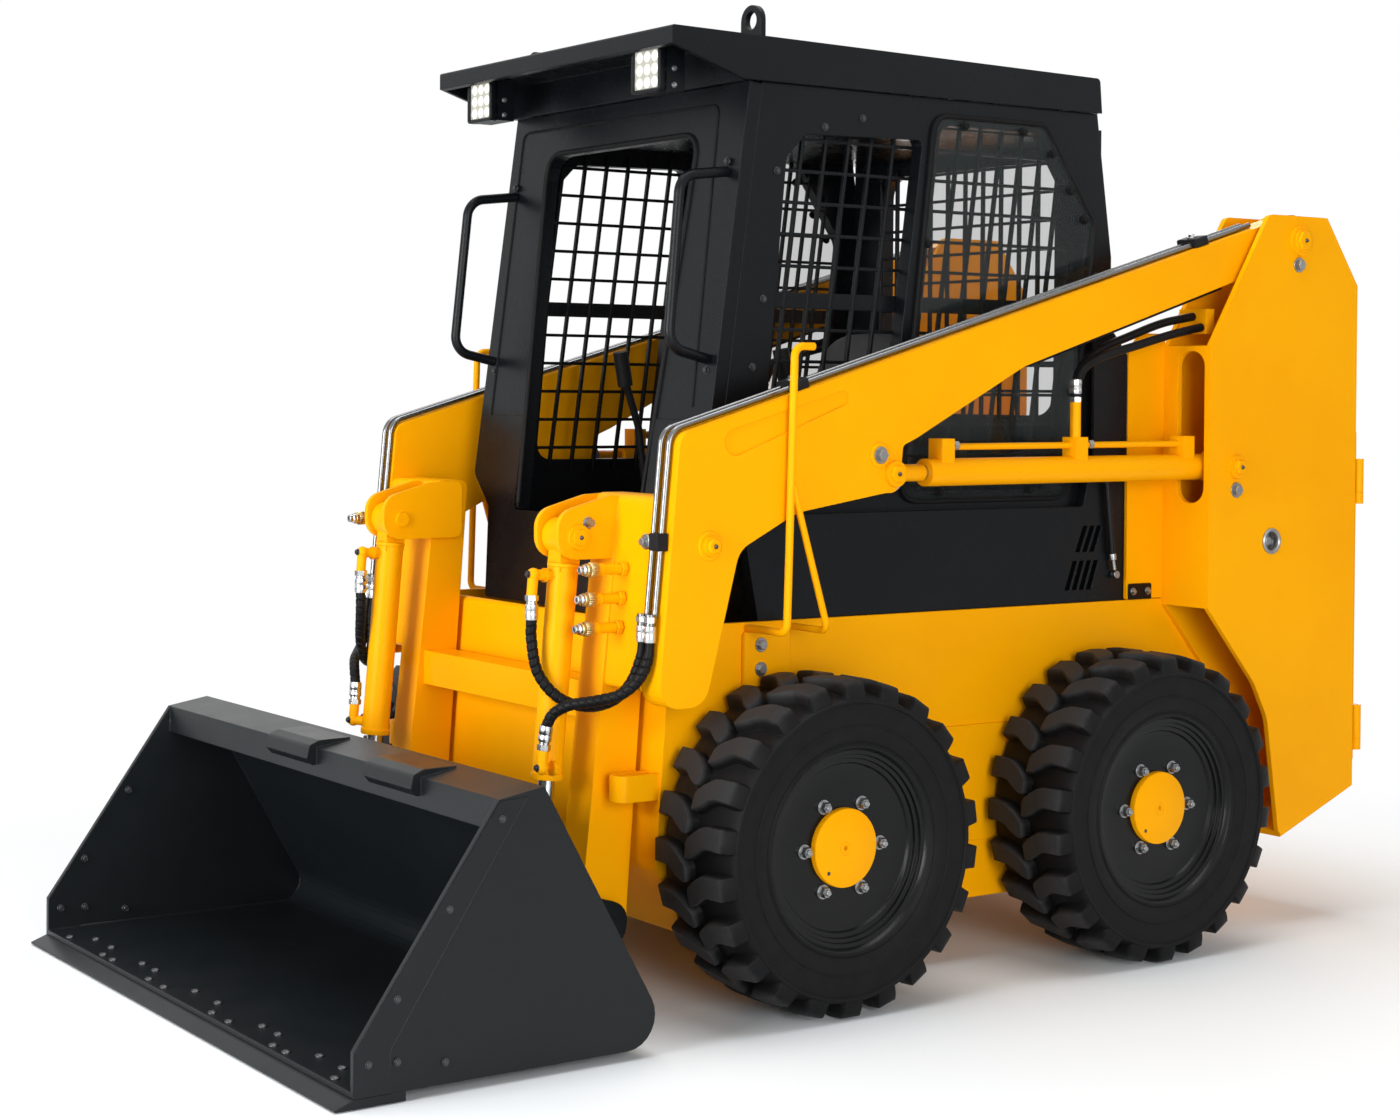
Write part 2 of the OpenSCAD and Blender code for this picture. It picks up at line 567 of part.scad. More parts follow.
// Faces between a plain ring from a and a lug ring from b, turned over on the inner side
function fan(a, b, over) = [for (k = [0 : lug_count - 1]) let (m = (k + 1) % lug_count, d = b + 4 * k)
  each [for (f = [[a + k, d, d + 1], [a + k, d + 1, d + 2], [a + k, d + 2, d + 3], [a + k, d + 3, a + m], [a + m, d + 3, b + 4 * m]])
    over ? [f[1], f[0], f[2]] : f]];
module tyre(x, side) color(rubber) on(side) translate([x, tyre_mid, wheel_r]) rotate([-90, 0, 0]) {
  rings = concat(tyre_side(1, 0), tyre_side(-1, 0.5));
  n = lug_count;
  l = 4 * n;
  far = 3 * n + 3 * l;
  polyhedron([for (r = rings) each r], concat(band(0, n, n, 0), band(n, 2 * n, n, 0), fan(2 * n, 3 * n, false),
    band(3 * n, 3 * n + l, l, 0), band(3 * n + l, 3 * n + 2 * l, l, 0), band(3 * n + 2 * l, far + 3 * n + 2 * l, l, 2),
    band(far + 3 * n + 2 * l, far + 3 * n + l, l, 0), band(far + 3 * n + l, far + 3 * n, l, 0),
    fan(far + 2 * n, far + 3 * n, true), band(far + 2 * n, far + n, n, 0), band(far + n, far, n, 0), band(far, 0, n, 0)));
}

// Rim with its disc and the hub; heights along the axle from the tyre's middle
module rim(x, side) color(black) on(side) translate([x, 0, wheel_r]) rotate([-90, 0, 0]) {
  r = rim_d / 2 - seat_gap;
  difference() {
    union() {
      rotate_extrude() polygon([[r - 8, tyre_in + 30], [r, tyre_in + 30], [r, tyre_out - 30], [r + 6, tyre_out - 8],
        [r + 1, tyre_out - 4], [r - 4, tyre_out - 18], [r - 12, tyre_out - 21], [r - 14, tyre_out - 33],
        [r - 22, tyre_out - 36], [r - 24, tyre_out - 48], [r - 33, tyre_out - 51], [r - 40, hub_face + 6], [r - 52, hub_face], [hub_d / 2, hub_face], [hub_d / 2, hub_face - 14], [r - 62, hub_face - 14],
        [r - 50, tyre_in + 60]]);
      translate([0, 0, hub_in]) cylinder(h = hub_face - hub_in + 41, r = hub_d / 2);
    }
    translate([0, 0, hub_in - eps]) cylinder(h = 62 + eps, r = spindle_d / 2 + run_gap);
  }
}

// LIFT ARMS

function arm_outline() = rounded([[884, 1303, 40], [939, 703, 50], [812, 703, 55], [722, 1045, 60], [560, 1125, 200],
  [300, 1165, 60], [258, 1165, 30], [247, 1275, 15], [205, 1292, 40], [-136, 1463, 120], [-pivot_back, 1758],
  [-pivot_back, 1872]]);
// Pressed panel in an arm's outer face: a line with a round end at each point
press_depth = 4;
function pill(a, ra, b, rb) = let (v = b - a, t = atan2(v[1], v[0]), w = acos((ra - rb) / norm(v)))
  concat([for (i = [0 : 8]) a + ra * [cos(t + w + i * (360 - 2 * w) / 8), sin(t + w + i * (360 - 2 * w) / 8)]],
    [for (i = [0 : 8]) b + rb * [cos(t - w + i * 2 * w / 8), sin(t - w + i * 2 * w / 8)]]);
rod_eye_r = 44;
rod_eye_w = 46;
module arm(side) color(yellow) on(side) difference() {
  union() {
    plate_xz(arm_outline(), arm_y, arm_out);
    pin_y(arm_pivot, arm_y, arm_out, 70);
    pin_y(lift_pin, arm_out, arm_out + 12, 30);
    pin_y([805, 1057], arm_out, arm_out + 16, 22);
  }
  pin_y(arm_pivot, arm_y - eps, arm_out + eps, pivot_pin_d / 2 + run_gap);
  plate_xz(pill([735, 1285], 30, [430, 1384], 17), arm_out - press_depth, arm_out + eps);
  // Fork for the lift rod's eye, open below
  block([100, arm_mid - rod_eye_w / 2 - 6, 1120], [lift_pin_x + rod_eye_r + 12, arm_mid + rod_eye_w / 2 + 6,
    lift_pin_z + rod_eye_r + 12]);
}

// Legs with the tilt cylinders' ears, and the beams that join the arms
leg_slope = 0.092;
function leg_front(z) = 933 - leg_slope * (z - 772);
box_z = [735, 1165];
ear_t = 14;
ear_y = [tilt_y - 51, tilt_y + 37];
function leg_outline() = rounded([[leg_front(box_z[1]), box_z[1], 20], [bucket_pivot_x + 62, bucket_pivot_z + 20, 60],
  [bucket_pivot_x + 55, bucket_pivot_z - 60, 60], [bucket_pivot_x - 62, bucket_pivot_z - 60, 55],
  [bucket_pivot_x - 64, bucket_pivot_z + 40, 60], [805, box_z[1], 20]]);
module ear(y, back)
  plate_xz(rounded([[back, 1165, 20], [leg_front(1069) + 20, 1160, 60], [tilt_top_x + 52, tilt_top_z + 55, 48],
    [tilt_top_x + 52, tilt_top_z - 50, 48], [back, 1020, 20]]), y, y + ear_t);
module arm_cross_frame() color(yellow) {
  both() {
    difference() {
      plate_xz(leg_outline(), leg_y, leg_y + leg_w);
      pin_y(bucket_pivot, leg_y - eps, leg_y + leg_w + eps, bucket_pin_d / 2 + run_gap);
    }
    plate_xz(rounded([[leg_front(box_z[1]), box_z[1], 20], [leg_front(box_z[0]), box_z[0], 10], [835, box_z[0], 10],
      [805, box_z[1], 20]]), leg_y + leg_w - eps, arm_y - seat_gap);
    ear(ear_y[0], 830);
    ear(ear_y[1], 890);
    pin_y(tilt_top, ear_y[0] - 6, ear_y[1] + ear_t + 14, cyl_pin_d / 2);
    pin_y(tilt_top, ear_y[1] + ear_t - eps, ear_y[1] + ear_t + 8, 28);
  }
  block([852, -leg_y - eps, 650], [930, leg_y + eps, 735]);
}

// Steel tubes on the arm's top and front faces, with crimped ends for the hoses
tube_r = 7;
tube_y = [arm_y + 14, arm_y + 44];
tube_end_z = 900;
crimp_len = 60;
crimp_z = tube_end_z - crimp_len + 10;
crimp_x = leg_front(crimp_z) + 15.6;
function arm_top(x) = 1303 + (884 - x) * (pivot_z + 69 - 1303) / (884 + pivot_back);
module arm_tubes() color(steel) both() for (y = tube_y) {
  pipe([[-960, y, arm_top(-960) + 7.8], [884 + 8, y, arm_top(884) + 7.8], [leg_front(tube_end_z) + 8, y, tube_end_z]], tube_r, 45);
  translate([crimp_x, y, crimp_z]) cylinder(h = crimp_len, r = 12);
}

module aux_couplers() color("goldenrod") both() for (z = [1000, 935, 870])
  bar([leg_front(z) + 1.3, 505, z], [leg_front(z) + 125, 505, z], 12);

// LIFT CYLINDERS

lift_dir = unit(lift_pin - lift_base);
lift_len = norm(lift_pin - lift_base);
lift_angle = atan2(lift_dir[1], lift_dir[0]);
rod_bare = 124;
lift_barrel_len = lift_len - rod_bare;
lift_port_x = [500, 520];
lift_port_y = [-13, 13];
module along_lift() translate([lift_base[0], arm_mid, lift_base[1]]) rotate([0, -lift_angle, 0]) children();
module lift_barrel(side) color(yellow) on(side) along_lift() difference() {
  union() {
    rotate([0, 90, 0]) translate([0, 0, 30]) cylinder(h = lift_barrel_len - 30, r = lift_barrel_d / 2);
    rotate([90, 0, 0]) cylinder(h = 60, r = 42, center = true);
    // Feed pipe and port blocks on top of the barrel
    translate([130, 0, 60]) rotate([0, 90, 0]) cylinder(h = 820, r = 8);
    for (x = [110, 490, 930]) translate([x, -24, 20]) cube([40, 48, 60]);
    for (i = [0, 1]) translate([lift_port_x[i], lift_port_y[i], 70]) cylinder(h = 100, r = 11);
  }
  rotate([90, 0, 0]) cylinder(h = 70, r = cyl_pin_d / 2 + run_gap, center = true);
  rotate([0, 90, 0]) translate([0, 0, 60]) cylinder(h = lift_barrel_len, r = lift_rod_d / 2 + run_gap);
}
module lift_rod(side) color(steel) on(side) along_lift() difference() {
  union() {
    rotate([0, 90, 0]) translate([0, 0, 120]) cylinder(h = lift_len - 120, r = lift_rod_d / 2);
    translate([lift_len, 0, 0]) rotate([90, 0, 0]) cylinder(h = rod_eye_w, r = rod_eye_r, center = true);
  }
  translate([lift_len, 0, 0]) rotate([90, 0, 0]) cylinder(h = 70, r = cyl_pin_d / 2, center = true);
}

// TILT CYLINDERS

tilt_dir = unit(tilt_low - tilt_top);
tilt_len = norm(tilt_low - tilt_top);
tilt_angle = atan2(tilt_dir[1], tilt_dir[0]);
tilt_barrel_len = 545;
tilt_eye_w = 70;
tilt_rod_in = 200;
tilt_rod_eye_r = 32;
tilt_rod_eye_w = 44;
tilt_rod_pin_r = 15;
tilt_port_r = 12;
// Hose ends in the cylinder's own frame: along it, outward, forward
tilt_port_a = [140, 0, 78];
tilt_port_b = [470, 42, 42];
module along_tilt() translate([tilt_top[0], tilt_y, tilt_top[1]]) rotate([0, -tilt_angle, 0]) children();
module elbow(from, knee, end) {
  bar(from, knee, tilt_port_r);
  translate(knee) sphere(r = tilt_port_r + 3);
  bar(knee, end, tilt_port_r);
}
module tilt_barrel(side) color(yellow) on(side) along_tilt() difference() {
  union() {
    rotate([0, 90, 0]) translate([0, 0, 60]) cylinder(h = tilt_barrel_len - 60, r = tilt_barrel_d / 2);
    rotate([90, 0, 0]) cylinder(h = tilt_eye_w, r = 42, center = true);
    translate([20, -26, -26]) cube([60, 52, 52]);
    elbow([90, 0, 25], [90, 0, tilt_port_a[2]], tilt_port_a);
    elbow([515, 17, 17], [515, tilt_port_b[1], tilt_port_b[2]], tilt_port_b);
  }
  rotate([90, 0, 0]) cylinder(h = tilt_eye_w + 10, r = cyl_pin_d / 2 + run_gap, center = true);
  rotate([0, 90, 0]) translate([0, 0, 80]) cylinder(h = tilt_barrel_len, r = tilt_rod_d / 2 + run_gap);
}
module tilt_rod(side) color(steel) on(side) along_tilt() difference() {
  union() {
    rotate([0, 90, 0]) translate([0, 0, tilt_rod_in]) cylinder(h = tilt_len - tilt_rod_in, r = tilt_rod_d / 2);
    translate([tilt_len, 0, 0]) rotate([90, 0, 0]) cylinder(h = tilt_rod_eye_w, r = tilt_rod_eye_r, center = true);
  }
  translate([tilt_len, 0, 0]) rotate([90, 0, 0]) cylinder(h = 80, r = tilt_rod_pin_r, center = true);
}

// BUCKET

bucket_y = bucket_w / 2;
floor_z = 22;
edge_z = 3;
heel_r = 69;
lip = [1431, bucket_z - 18];
beam_h = 66;
side_tip = [bucket_tip - 40, 113];
heel = [bucket_heel, floor_z];
top_rear = [1323, bucket_z];
back_dir = unit(top_rear - heel);
back_out = [-back_dir[1], back_dir[0]];
// Point on the bucket's back, s up from the heel corner and off outward from the plate
function back_at(s, off) = heel + back_dir * s + back_out * off;
function inner_x(z) = heel[0] + (z - floor_z) * back_dir[0] / back_dir[1] + bucket_wall / back_dir[1];
// Hooks folded over the top beam
hook_y = [-86, 396];
hook_w = 210;
function beam_z(x) = bucket_z - (x - top_rear[0]) * (bucket_z - lip[1]) / (lip[0] - top_rear[0]);
function hook_outline() = rounded([[lip[0] - 86, beam_z(lip[0] - 86) - eps], [lip[0] - 86, beam_z(lip[0] - 86) + 4, 2],
  [lip[0] - 6, beam_z(lip[0]) + 17, 10], [lip[0] + 20, lip[1] + 6, 12], [lip[0] + 26, lip[1] - 22, 10],
  [lip[0] + 10, lip[1] - 40, 8], [lip[0] - eps, lip[1] - 38], [lip[0] - eps, beam_z(lip[0]) - eps]]);
module bucket_shell() color(dark) {
  for (y = hook_y) plate_xz(hook_outline(), y - hook_w / 2, y + hook_w / 2);
  both() plate_xz(rounded([[side_tip[0], floor_z], [heel[0], heel[1], heel_r], top_rear, lip, side_tip], 8),
    bucket_y - bucket_wall, bucket_y);
  plate_xz(rounded([[side_tip[0], floor_z], [heel[0], heel[1], heel_r], top_rear, lip, [lip[0], lip[1] - beam_h],
    [inner_x(lip[1] - beam_h), lip[1] - beam_h], [inner_x(floor_z + bucket_wall), floor_z + bucket_wall, heel_r - bucket_wall],
    [side_tip[0], floor_z + bucket_wall]], 8), -bucket_y + bucket_wall - eps, bucket_y - bucket_wall + eps);
}
module bucket_edge() color(dark)
  plate_xz([[side_tip[0] - 117, floor_z - seat_gap], [side_tip[0] - 117, edge_z], [bucket_tip, edge_z],
    [bucket_tip, edge_z + 4], [side_tip[0], floor_z - seat_gap]], -bucket_y, bucket_y);

// Frame on the bucket's back: a plate with the pivot plates and their pins beside each leg,
// and the lugs of the tilt rods. The rod's pin is left out, since its eye drifts as the bucket tilts.
plate_gap = 6;
pivot_t = 14;
lug_t = 12;
lug_gap = 5;
lug_r = 34;
pivot_plate_y = [leg_y - plate_gap - pivot_t, leg_y + leg_w + plate_gap];
lug_y = [tilt_y - tilt_rod_eye_w / 2 - lug_gap - lug_t, tilt_y + tilt_rod_eye_w / 2 + lug_gap];
function pivot_outline() = rounded([[bucket_pivot_x - 56, bucket_pivot_z + 44, 46], [bucket_pivot_x - 44, bucket_pivot_z - 56, 50],
  back_at(160, 8), back_at(440, 8), [bucket_pivot_x + 20, bucket_pivot_z + 66, 40]]);
function lug_outline() = rounded([[tilt_low_x - 34, tilt_low_z + 34, 30], [tilt_low_x - 34, tilt_low_z - 34, 30],
  back_at(255, seat_gap), back_at(430, seat_gap)]);
module coupler_frame() color(dark) {
  plate_xz([back_at(150, seat_gap), back_at(560, seat_gap), back_at(560, 20), back_at(150, 20)],
    -pivot_plate_y[0] - pivot_t, pivot_plate_y[0] + pivot_t);
  both() {
    plate_xz([back_at(150, seat_gap), back_at(560, seat_gap), back_at(560, 20), back_at(150, 20)],
      pivot_plate_y[1], pivot_plate_y[1] + 60);
    for (y = pivot_plate_y) plate_xz(pivot_outline(), y, y + pivot_t);
    for (y = lug_y) plate_xz(lug_outline(), y, y + lug_t);
    pin_y(bucket_pivot, pivot_plate_y[0], pivot_plate_y[1] + pivot_t + 10, bucket_pin_d / 2);
  }
}

// HOSES

tilt_hose_r = 13;
lift_hose_r = 11;
tilt_side = [0.8, 0.6, 0];
lift_side = [0, 1, 0];
// Routes from the tubes' ends to the tilt cylinder's ports and from the lift cylinder's
// ports to the tower, by hand
tilt_route_a = [[941, 613, 848], [945, 611, 808], [957, 591, 755], [980, 556, 715], [1012, 502, 698], [1055, 454, 715],
  [1086, 417, 767], [1094, 401, 840], [1094, 401, 890], [1094, 401, 932]];
tilt_route_b = [[941, 643, 848], [946, 641, 812], [960, 628, 768], [986, 596, 733], [1022, 551, 716], [1056, 503, 704],
  [1076, 465, 681], [1083, 446, 645], [1086, 443, 608]];
lift_route_a = [[-355, 623, 1382], [-357, 623, 1420], [-385, 621, 1470], [-450, 616, 1510], [-560, 610, 1545],
  [-680, 606, 1580], [-796, 604, 1600]];
lift_route_b = [[-335, 649, 1382], [-337, 649, 1420], [-362, 649, 1462], [-430, 647, 1492], [-550, 640, 1520],
  [-680, 634, 1550], [-796, 632, 1572]];
module tilt_hoses(side) color(rubber) on(side) {
  hose(tilt_route_a, tilt_hose_r, tilt_side);
  hose(tilt_route_b, tilt_hose_r, tilt_side);
}
module lift_hoses(side) color(rubber) on(side) {
  hose(lift_route_a, lift_hose_r, lift_side);
  hose(lift_route_b, lift_hose_r, lift_side);
}

in_frame() chassis_tub();
in_frame() axle_housings();
in_frame() tower(1);  // tower_left
in_frame() tower(-1);  // tower_right
in_frame() engine_block();
in_frame() engine_hood();
in_frame() cab_front_frame();
in_frame() cab_side(1);  // cab_side_left
in_frame() cab_side(-1);  // cab_side_right
in_frame() cab_rear_panel();
in_frame() cab_roof();
in_frame() window_grilles();
in_frame() side_windows();
in_frame() cab_floor();
in_frame() lower_side_panels();
in_frame() seat();
in_frame() seat_base();
in_frame() control_levers();
in_frame() grab_handles();
in_frame() work_lamps();
in_frame() lamp_lenses();
in_frame() lifting_eye();
in_frame() arm_stop_rods();
in_frame() tail_lamps();
in_frame() rear_door();
in_frame() tyre(wheel_x, 1);  // tyre_front_left
in_frame() tyre(wheel_x, -1);  // tyre_front_right
in_frame() tyre(-wheel_x, 1);  // tyre_rear_left
in_frame() tyre(-wheel_x, -1);  // tyre_rear_right
in_frame() rim(wheel_x, 1);  // rim_front_left
in_frame() rim(wheel_x, -1);  // rim_front_right
in_frame() rim(-wheel_x, 1);  // rim_rear_left
in_frame() rim(-wheel_x, -1);  // rim_rear_right
in_frame() arm(1);  // arm_left
in_frame() arm(-1);  // arm_right
in_frame() arm_cross_frame();
in_frame() arm_tubes();
in_frame() aux_couplers();
in_frame() lift_barrel(1);  // lift_barrel_left
in_frame() lift_barrel(-1);  // lift_barrel_right
in_frame() lift_rod(1);  // lift_rod_left
in_frame() lift_rod(-1);  // lift_rod_right
in_frame() tilt_barrel(1);  // tilt_barrel_left
in_frame() tilt_barrel(-1);  // tilt_barrel_right
in_frame() tilt_rod(1);  // tilt_rod_left
in_frame() tilt_rod(-1);  // tilt_rod_right
in_frame() bucket_shell();
in_frame() bucket_edge();
in_frame() coupler_frame();
in_frame() tilt_hoses(1);  // tilt_hoses_left
in_frame() tilt_hoses(-1);  // tilt_hoses_right
in_frame() lift_hoses(1);  // lift_hoses_left
in_frame() lift_hoses(-1);  // lift_hoses_right
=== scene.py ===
"""Looks of a compact loader on four wheels: paint, rubber, glass, hoses, bolts and other trim.

Points are written in millimetres from the middle of the wheelbase at floor level, x forwards, y to
the machine's left and z up; place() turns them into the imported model's metres.
"""
import bpy
import json
import numpy as np
from mathutils import Matrix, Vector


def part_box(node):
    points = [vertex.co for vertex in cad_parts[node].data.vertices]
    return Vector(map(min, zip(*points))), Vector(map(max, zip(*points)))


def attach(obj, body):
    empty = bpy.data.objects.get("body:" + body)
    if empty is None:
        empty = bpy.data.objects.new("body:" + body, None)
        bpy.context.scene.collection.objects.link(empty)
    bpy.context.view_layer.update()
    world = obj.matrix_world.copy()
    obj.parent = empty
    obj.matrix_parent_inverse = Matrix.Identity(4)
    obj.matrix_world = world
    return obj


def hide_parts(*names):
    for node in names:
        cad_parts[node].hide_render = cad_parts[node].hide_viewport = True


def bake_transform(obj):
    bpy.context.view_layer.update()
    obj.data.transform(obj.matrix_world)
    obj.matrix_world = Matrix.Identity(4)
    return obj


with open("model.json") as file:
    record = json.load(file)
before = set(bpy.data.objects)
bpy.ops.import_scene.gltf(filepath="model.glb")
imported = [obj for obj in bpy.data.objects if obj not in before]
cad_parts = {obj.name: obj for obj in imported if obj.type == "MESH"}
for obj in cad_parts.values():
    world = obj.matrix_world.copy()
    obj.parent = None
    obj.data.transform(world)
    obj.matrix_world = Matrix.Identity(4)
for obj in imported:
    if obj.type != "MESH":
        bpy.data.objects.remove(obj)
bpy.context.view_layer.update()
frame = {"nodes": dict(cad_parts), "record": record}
nodes = frame["nodes"]
front_low, front_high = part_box("tyre_front_left")
rear_low, rear_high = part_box("tyre_rear_left")
mid_x = (front_low.x + front_high.x + rear_low.x + rear_high.x) / 4
X, Y, Z = np.eye(3)
SIDES = {"left": 1, "right": -1}
WHEEL_X, WHEEL_Y, WHEEL_R = 500.0, 688.0, 380.0
LAMP_Y, LAMP_Z = 371.0, 2138.0


def place(points):
    """Millimetres from the middle of the wheelbase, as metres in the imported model's frame."""
    return np.asarray(points, float) / 1000 + (mid_x, 0, 0)


# Surfaces

def unit(vectors):
    """Vectors divided by their lengths."""
    vectors = np.asarray(vectors, float)
    return vectors / np.linalg.norm(vectors, axis=-1, keepdims=True)


def basis(axis):
    """Matrix whose columns are two directions across an axis and the axis itself."""
    axis = unit(axis)
    across = unit(np.cross(axis, Z if abs(axis[2]) < 0.9 else X))
    return np.stack([across, np.cross(axis, across), axis], axis=1)


def grid_quads(rows, columns, ring):
    """Quads of a grid whose columns close on themselves; with ring its rows close too."""
    r, c = np.meshgrid(np.arange(rows if ring else rows - 1), np.arange(columns), indexing="ij")
    down, along = (r + 1) % rows, (c + 1) % columns
    quads = np.stack([r * columns + c, down * columns + c, down * columns + along, r * columns + along], -1)
    return quads.reshape(-1, 4)


def loft(sections, ring=False):
    """Closed surface through an array of sections, rows by columns by 3; its ends are capped unless ring."""
    rows, columns = sections.shape[:2]
    faces = [grid_quads(rows, columns, ring)]
    if not ring:
        start = np.arange(columns)[None]
        faces += [start[:, ::-1], start + (rows - 1) * columns]
    return sections.reshape(-1, 3), faces


def turned(profile, centre, axis, steps, ring=False):
    """Profile of (radius, height) rows carried round an axis.

    A point is centre + height a + radius (cos t u + sin t v), with u and v across the axis a.
    """
    profile, frame_of = np.asarray(profile, float), basis(axis)
    t = np.linspace(0, 2 * np.pi, steps, endpoint=False)
    circle = np.stack([np.cos(t), np.sin(t), np.zeros(steps)], -1) @ frame_of.T
    sections = profile[:, :1, None] * circle[None] + profile[:, 1:, None] * frame_of[:, 2]
    return loft(sections + np.asarray(centre, float), ring)


def swept(path, section, side):
    """Section of (across, up) points, one for all or one per path point, carried along a path.

    At each path point the across direction is side less its share along the path, and up completes it.
    """
    path = np.asarray(path, float)
    along = unit(np.gradient(path, axis=0))
    across = unit(side - (along @ np.asarray(side, float))[:, None] * along)
    up = np.cross(along, across)
    section = np.broadcast_to(section, (len(path),) + np.shape(section)[-2:])
    return loft(path[:, None] + section[..., :1] * across[:, None] + section[..., 1:] * up[:, None])


def circle(radius, steps):
    """Points r (cos t, sin t) of a circle, anticlockwise."""
    t = np.linspace(0, 2 * np.pi, steps, endpoint=False)
    return radius * np.stack([np.cos(t), np.sin(t)], -1)


def rounded(corners, steps=5):
    """Outline through corners of (x, y, radius): each corner becomes an arc of straight blends.

    The arc is the quadratic curve from the corner's leading tangent point to its trailing one.
    """
    corners = np.asarray(corners, float)
    here = corners[:, :2]
    before, after = unit(np.roll(here, 1, 0) - here), unit(np.roll(here, -1, 0) - here)
    half = np.arccos(np.clip((before * after).sum(1), -1, 1)) / 2
    reach = (corners[:, 2] / np.tan(np.maximum(half, 0.05)))[:, None]
    t = np.linspace(0, 1, steps)[None, :, None]
    start, end = (here + before * reach)[:, None], (here + after * reach)[:, None]
    arcs = (1 - t) ** 2 * start + 2 * t * (1 - t) * here[:, None] + t ** 2 * end
    return arcs.reshape(-1, 2)


def slab(outline, low, high, lip):
    """Outline of (x, z) points extruded along y from low to high, its edges cut back by lip.

    The cut moves each point of the end outlines towards the outline's middle by lip.
    """
    outline = np.asarray(outline, float)
    inward = unit(outline.mean(0) - outline) * lip
    levels = [(low, 1), (low + lip, 0), (high - lip, 0), (high, 1)]
    sections = np.zeros((len(levels), len(outline), 3))
    for row, (level, cut) in enumerate(levels):
        sections[row][:, [0, 2]] = outline + inward * cut
        sections[row][:, 1] = level
    return loft(sections)


def smooth_path(points, spacing):
    """Catmull-Rom curve through points, sampled about every spacing along its length."""
    p = np.asarray(points, float)
    p = np.vstack([2 * p[0] - p[1], p, 2 * p[-1] - p[-2]])
    t = np.linspace(0, 1, 40, endpoint=False)[None, :, None]
    a, b, c, d = (p[k:len(p) - 3 + k][:, None] for k in range(4))
    bent = t ** 2 * (a - 2.5 * b + 2 * c - d / 2) + t ** 3 * (1.5 * (b - c) + (d - a) / 2)
    curve = b + t * (c - a) / 2 + bent
    curve = np.vstack([curve.reshape(-1, 3), p[-2]])
    run = np.concatenate([[0], np.cumsum(np.linalg.norm(np.diff(curve, axis=0), axis=1))])
    stations = np.linspace(0, run[-1], max(int(run[-1] / spacing), 8) + 1)
    return np.stack([np.interp(stations, run, curve[:, k]) for k in range(3)], -1)


def framed(outline, section, origin, across, up, out):
    """Closed band round a flat outline: each section row (inset, rise) moves the outline in and out.

    A point is origin + a across + b up + rise out, with (a, b) on the outline less inset along its
    outward normal.
    """
    outline, section = np.asarray(outline, float), np.asarray(section, float)
    along = unit(np.roll(outline, -1, 0) - np.roll(outline, 1, 0))
    area = np.cross(outline, np.roll(outline, -1, 0)).sum()
    inward = np.stack([-along[:, 1], along[:, 0]], -1) * np.sign(area)
    flat = outline[None] + section[:, :1, None] * inward[None]
    raised = section[:, 1:, None] * np.asarray(out, float)
    return loft(np.asarray(origin, float) + flat @ np.stack([across, up]) + raised, ring=True)


class Shape:
    """Gathers closed surfaces, in millimetres from the middle of the wheelbase, into one mesh."""

    def __init__(self):
        self.points, self.faces, self.count = [], [], 0

    def add(self, surface, turns=None, offsets=None):
        """Adds a surface, or a copy of it for each turn matrix and offset, with its faces outwards."""
        points, faces = surface
        volume = 0.0
        for f in faces:
            for k in range(1, f.shape[1] - 1):
                a, b, c = points[f[:, 0]], points[f[:, k]], points[f[:, k + 1]]
                volume += np.einsum("ij,ij->", a - points[0], np.cross(b - points[0], c - points[0]))
        turns = np.eye(3)[None] if turns is None else np.asarray(turns, float).reshape(-1, 3, 3)
        offsets = np.zeros((1, 3)) if offsets is None else np.asarray(offsets, float).reshape(-1, 3)
        copies = np.einsum("nij,kj->nki", turns, points) + offsets[:, None]
        outwards = volume * np.linalg.det(turns[0]) > 0
        starts = self.count + np.arange(len(copies)) * len(points)
        for f in faces:
            f = f if outwards else f[:, ::-1]
            self.faces += (f[None] + starts[:, None, None]).reshape(-1, f.shape[1]).tolist()
        self.points.append(copies.reshape(-1, 3))
        self.count += copies.shape[0] * len(points)
        return self

    def make(self, name, finish, body, slot, *replaced, flip=1, sharp=35):
        """The object itself, riding on a body unless that is None; flip -1 mirrors it to the right side."""
        points, faces = np.vstack(self.points) * (1, flip, 1), self.faces
        if flip < 0:
            faces = [f[::-1] for f in faces]
        mesh = bpy.data.meshes.new(name)
        mesh.from_pydata(place(points).tolist(), [], faces)
        mesh.materials.append(finish.material)
        mesh.shade_smooth()
        mesh.set_sharp_from_angle(angle=np.radians(sharp))
        piece = bpy.data.objects.new(name, mesh)
        bpy.context.scene.collection.objects.link(piece)
        if body:
            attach(piece, body)
        if replaced:
            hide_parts(*replaced)
        return piece


# Finishes

class Value:
    """One socket of a finish's nodes; sums, products and powers of it add Math nodes."""

    def __init__(self, finish, socket):
        self.finish, self.socket = finish, socket

    def maths(self, operation, first, second=0.0):
        """One Math node on one or two values."""
        return self.finish.node("ShaderNodeMath", {"operation": operation}, {0: first, 1: second})

    def __add__(self, other):
        return self.maths("ADD", self, other)

    def __sub__(self, other):
        return self.maths("SUBTRACT", self, other)

    def __rsub__(self, other):
        return self.maths("SUBTRACT", other, self)

    def __mul__(self, other):
        return self.maths("MULTIPLY", self, other)

    def __truediv__(self, other):
        return self.maths("DIVIDE", self, other)

    def __pow__(self, other):
        return self.maths("POWER", self, other)

    __radd__, __rmul__ = __add__, __mul__

    def sine(self):
        return self.maths("SINE", self)

    def size(self):
        """The value without its sign."""
        return self.maths("ABSOLUTE", self)

    def ease(self, low, high):
        """0 below low, 1 above high, eased between."""
        sockets = {0: self, 1: low, 2: high, 3: 0.0, 4: 1.0}
        return self.finish.node("ShaderNodeMapRange", {"interpolation_type": "SMOOTHSTEP"}, sockets)


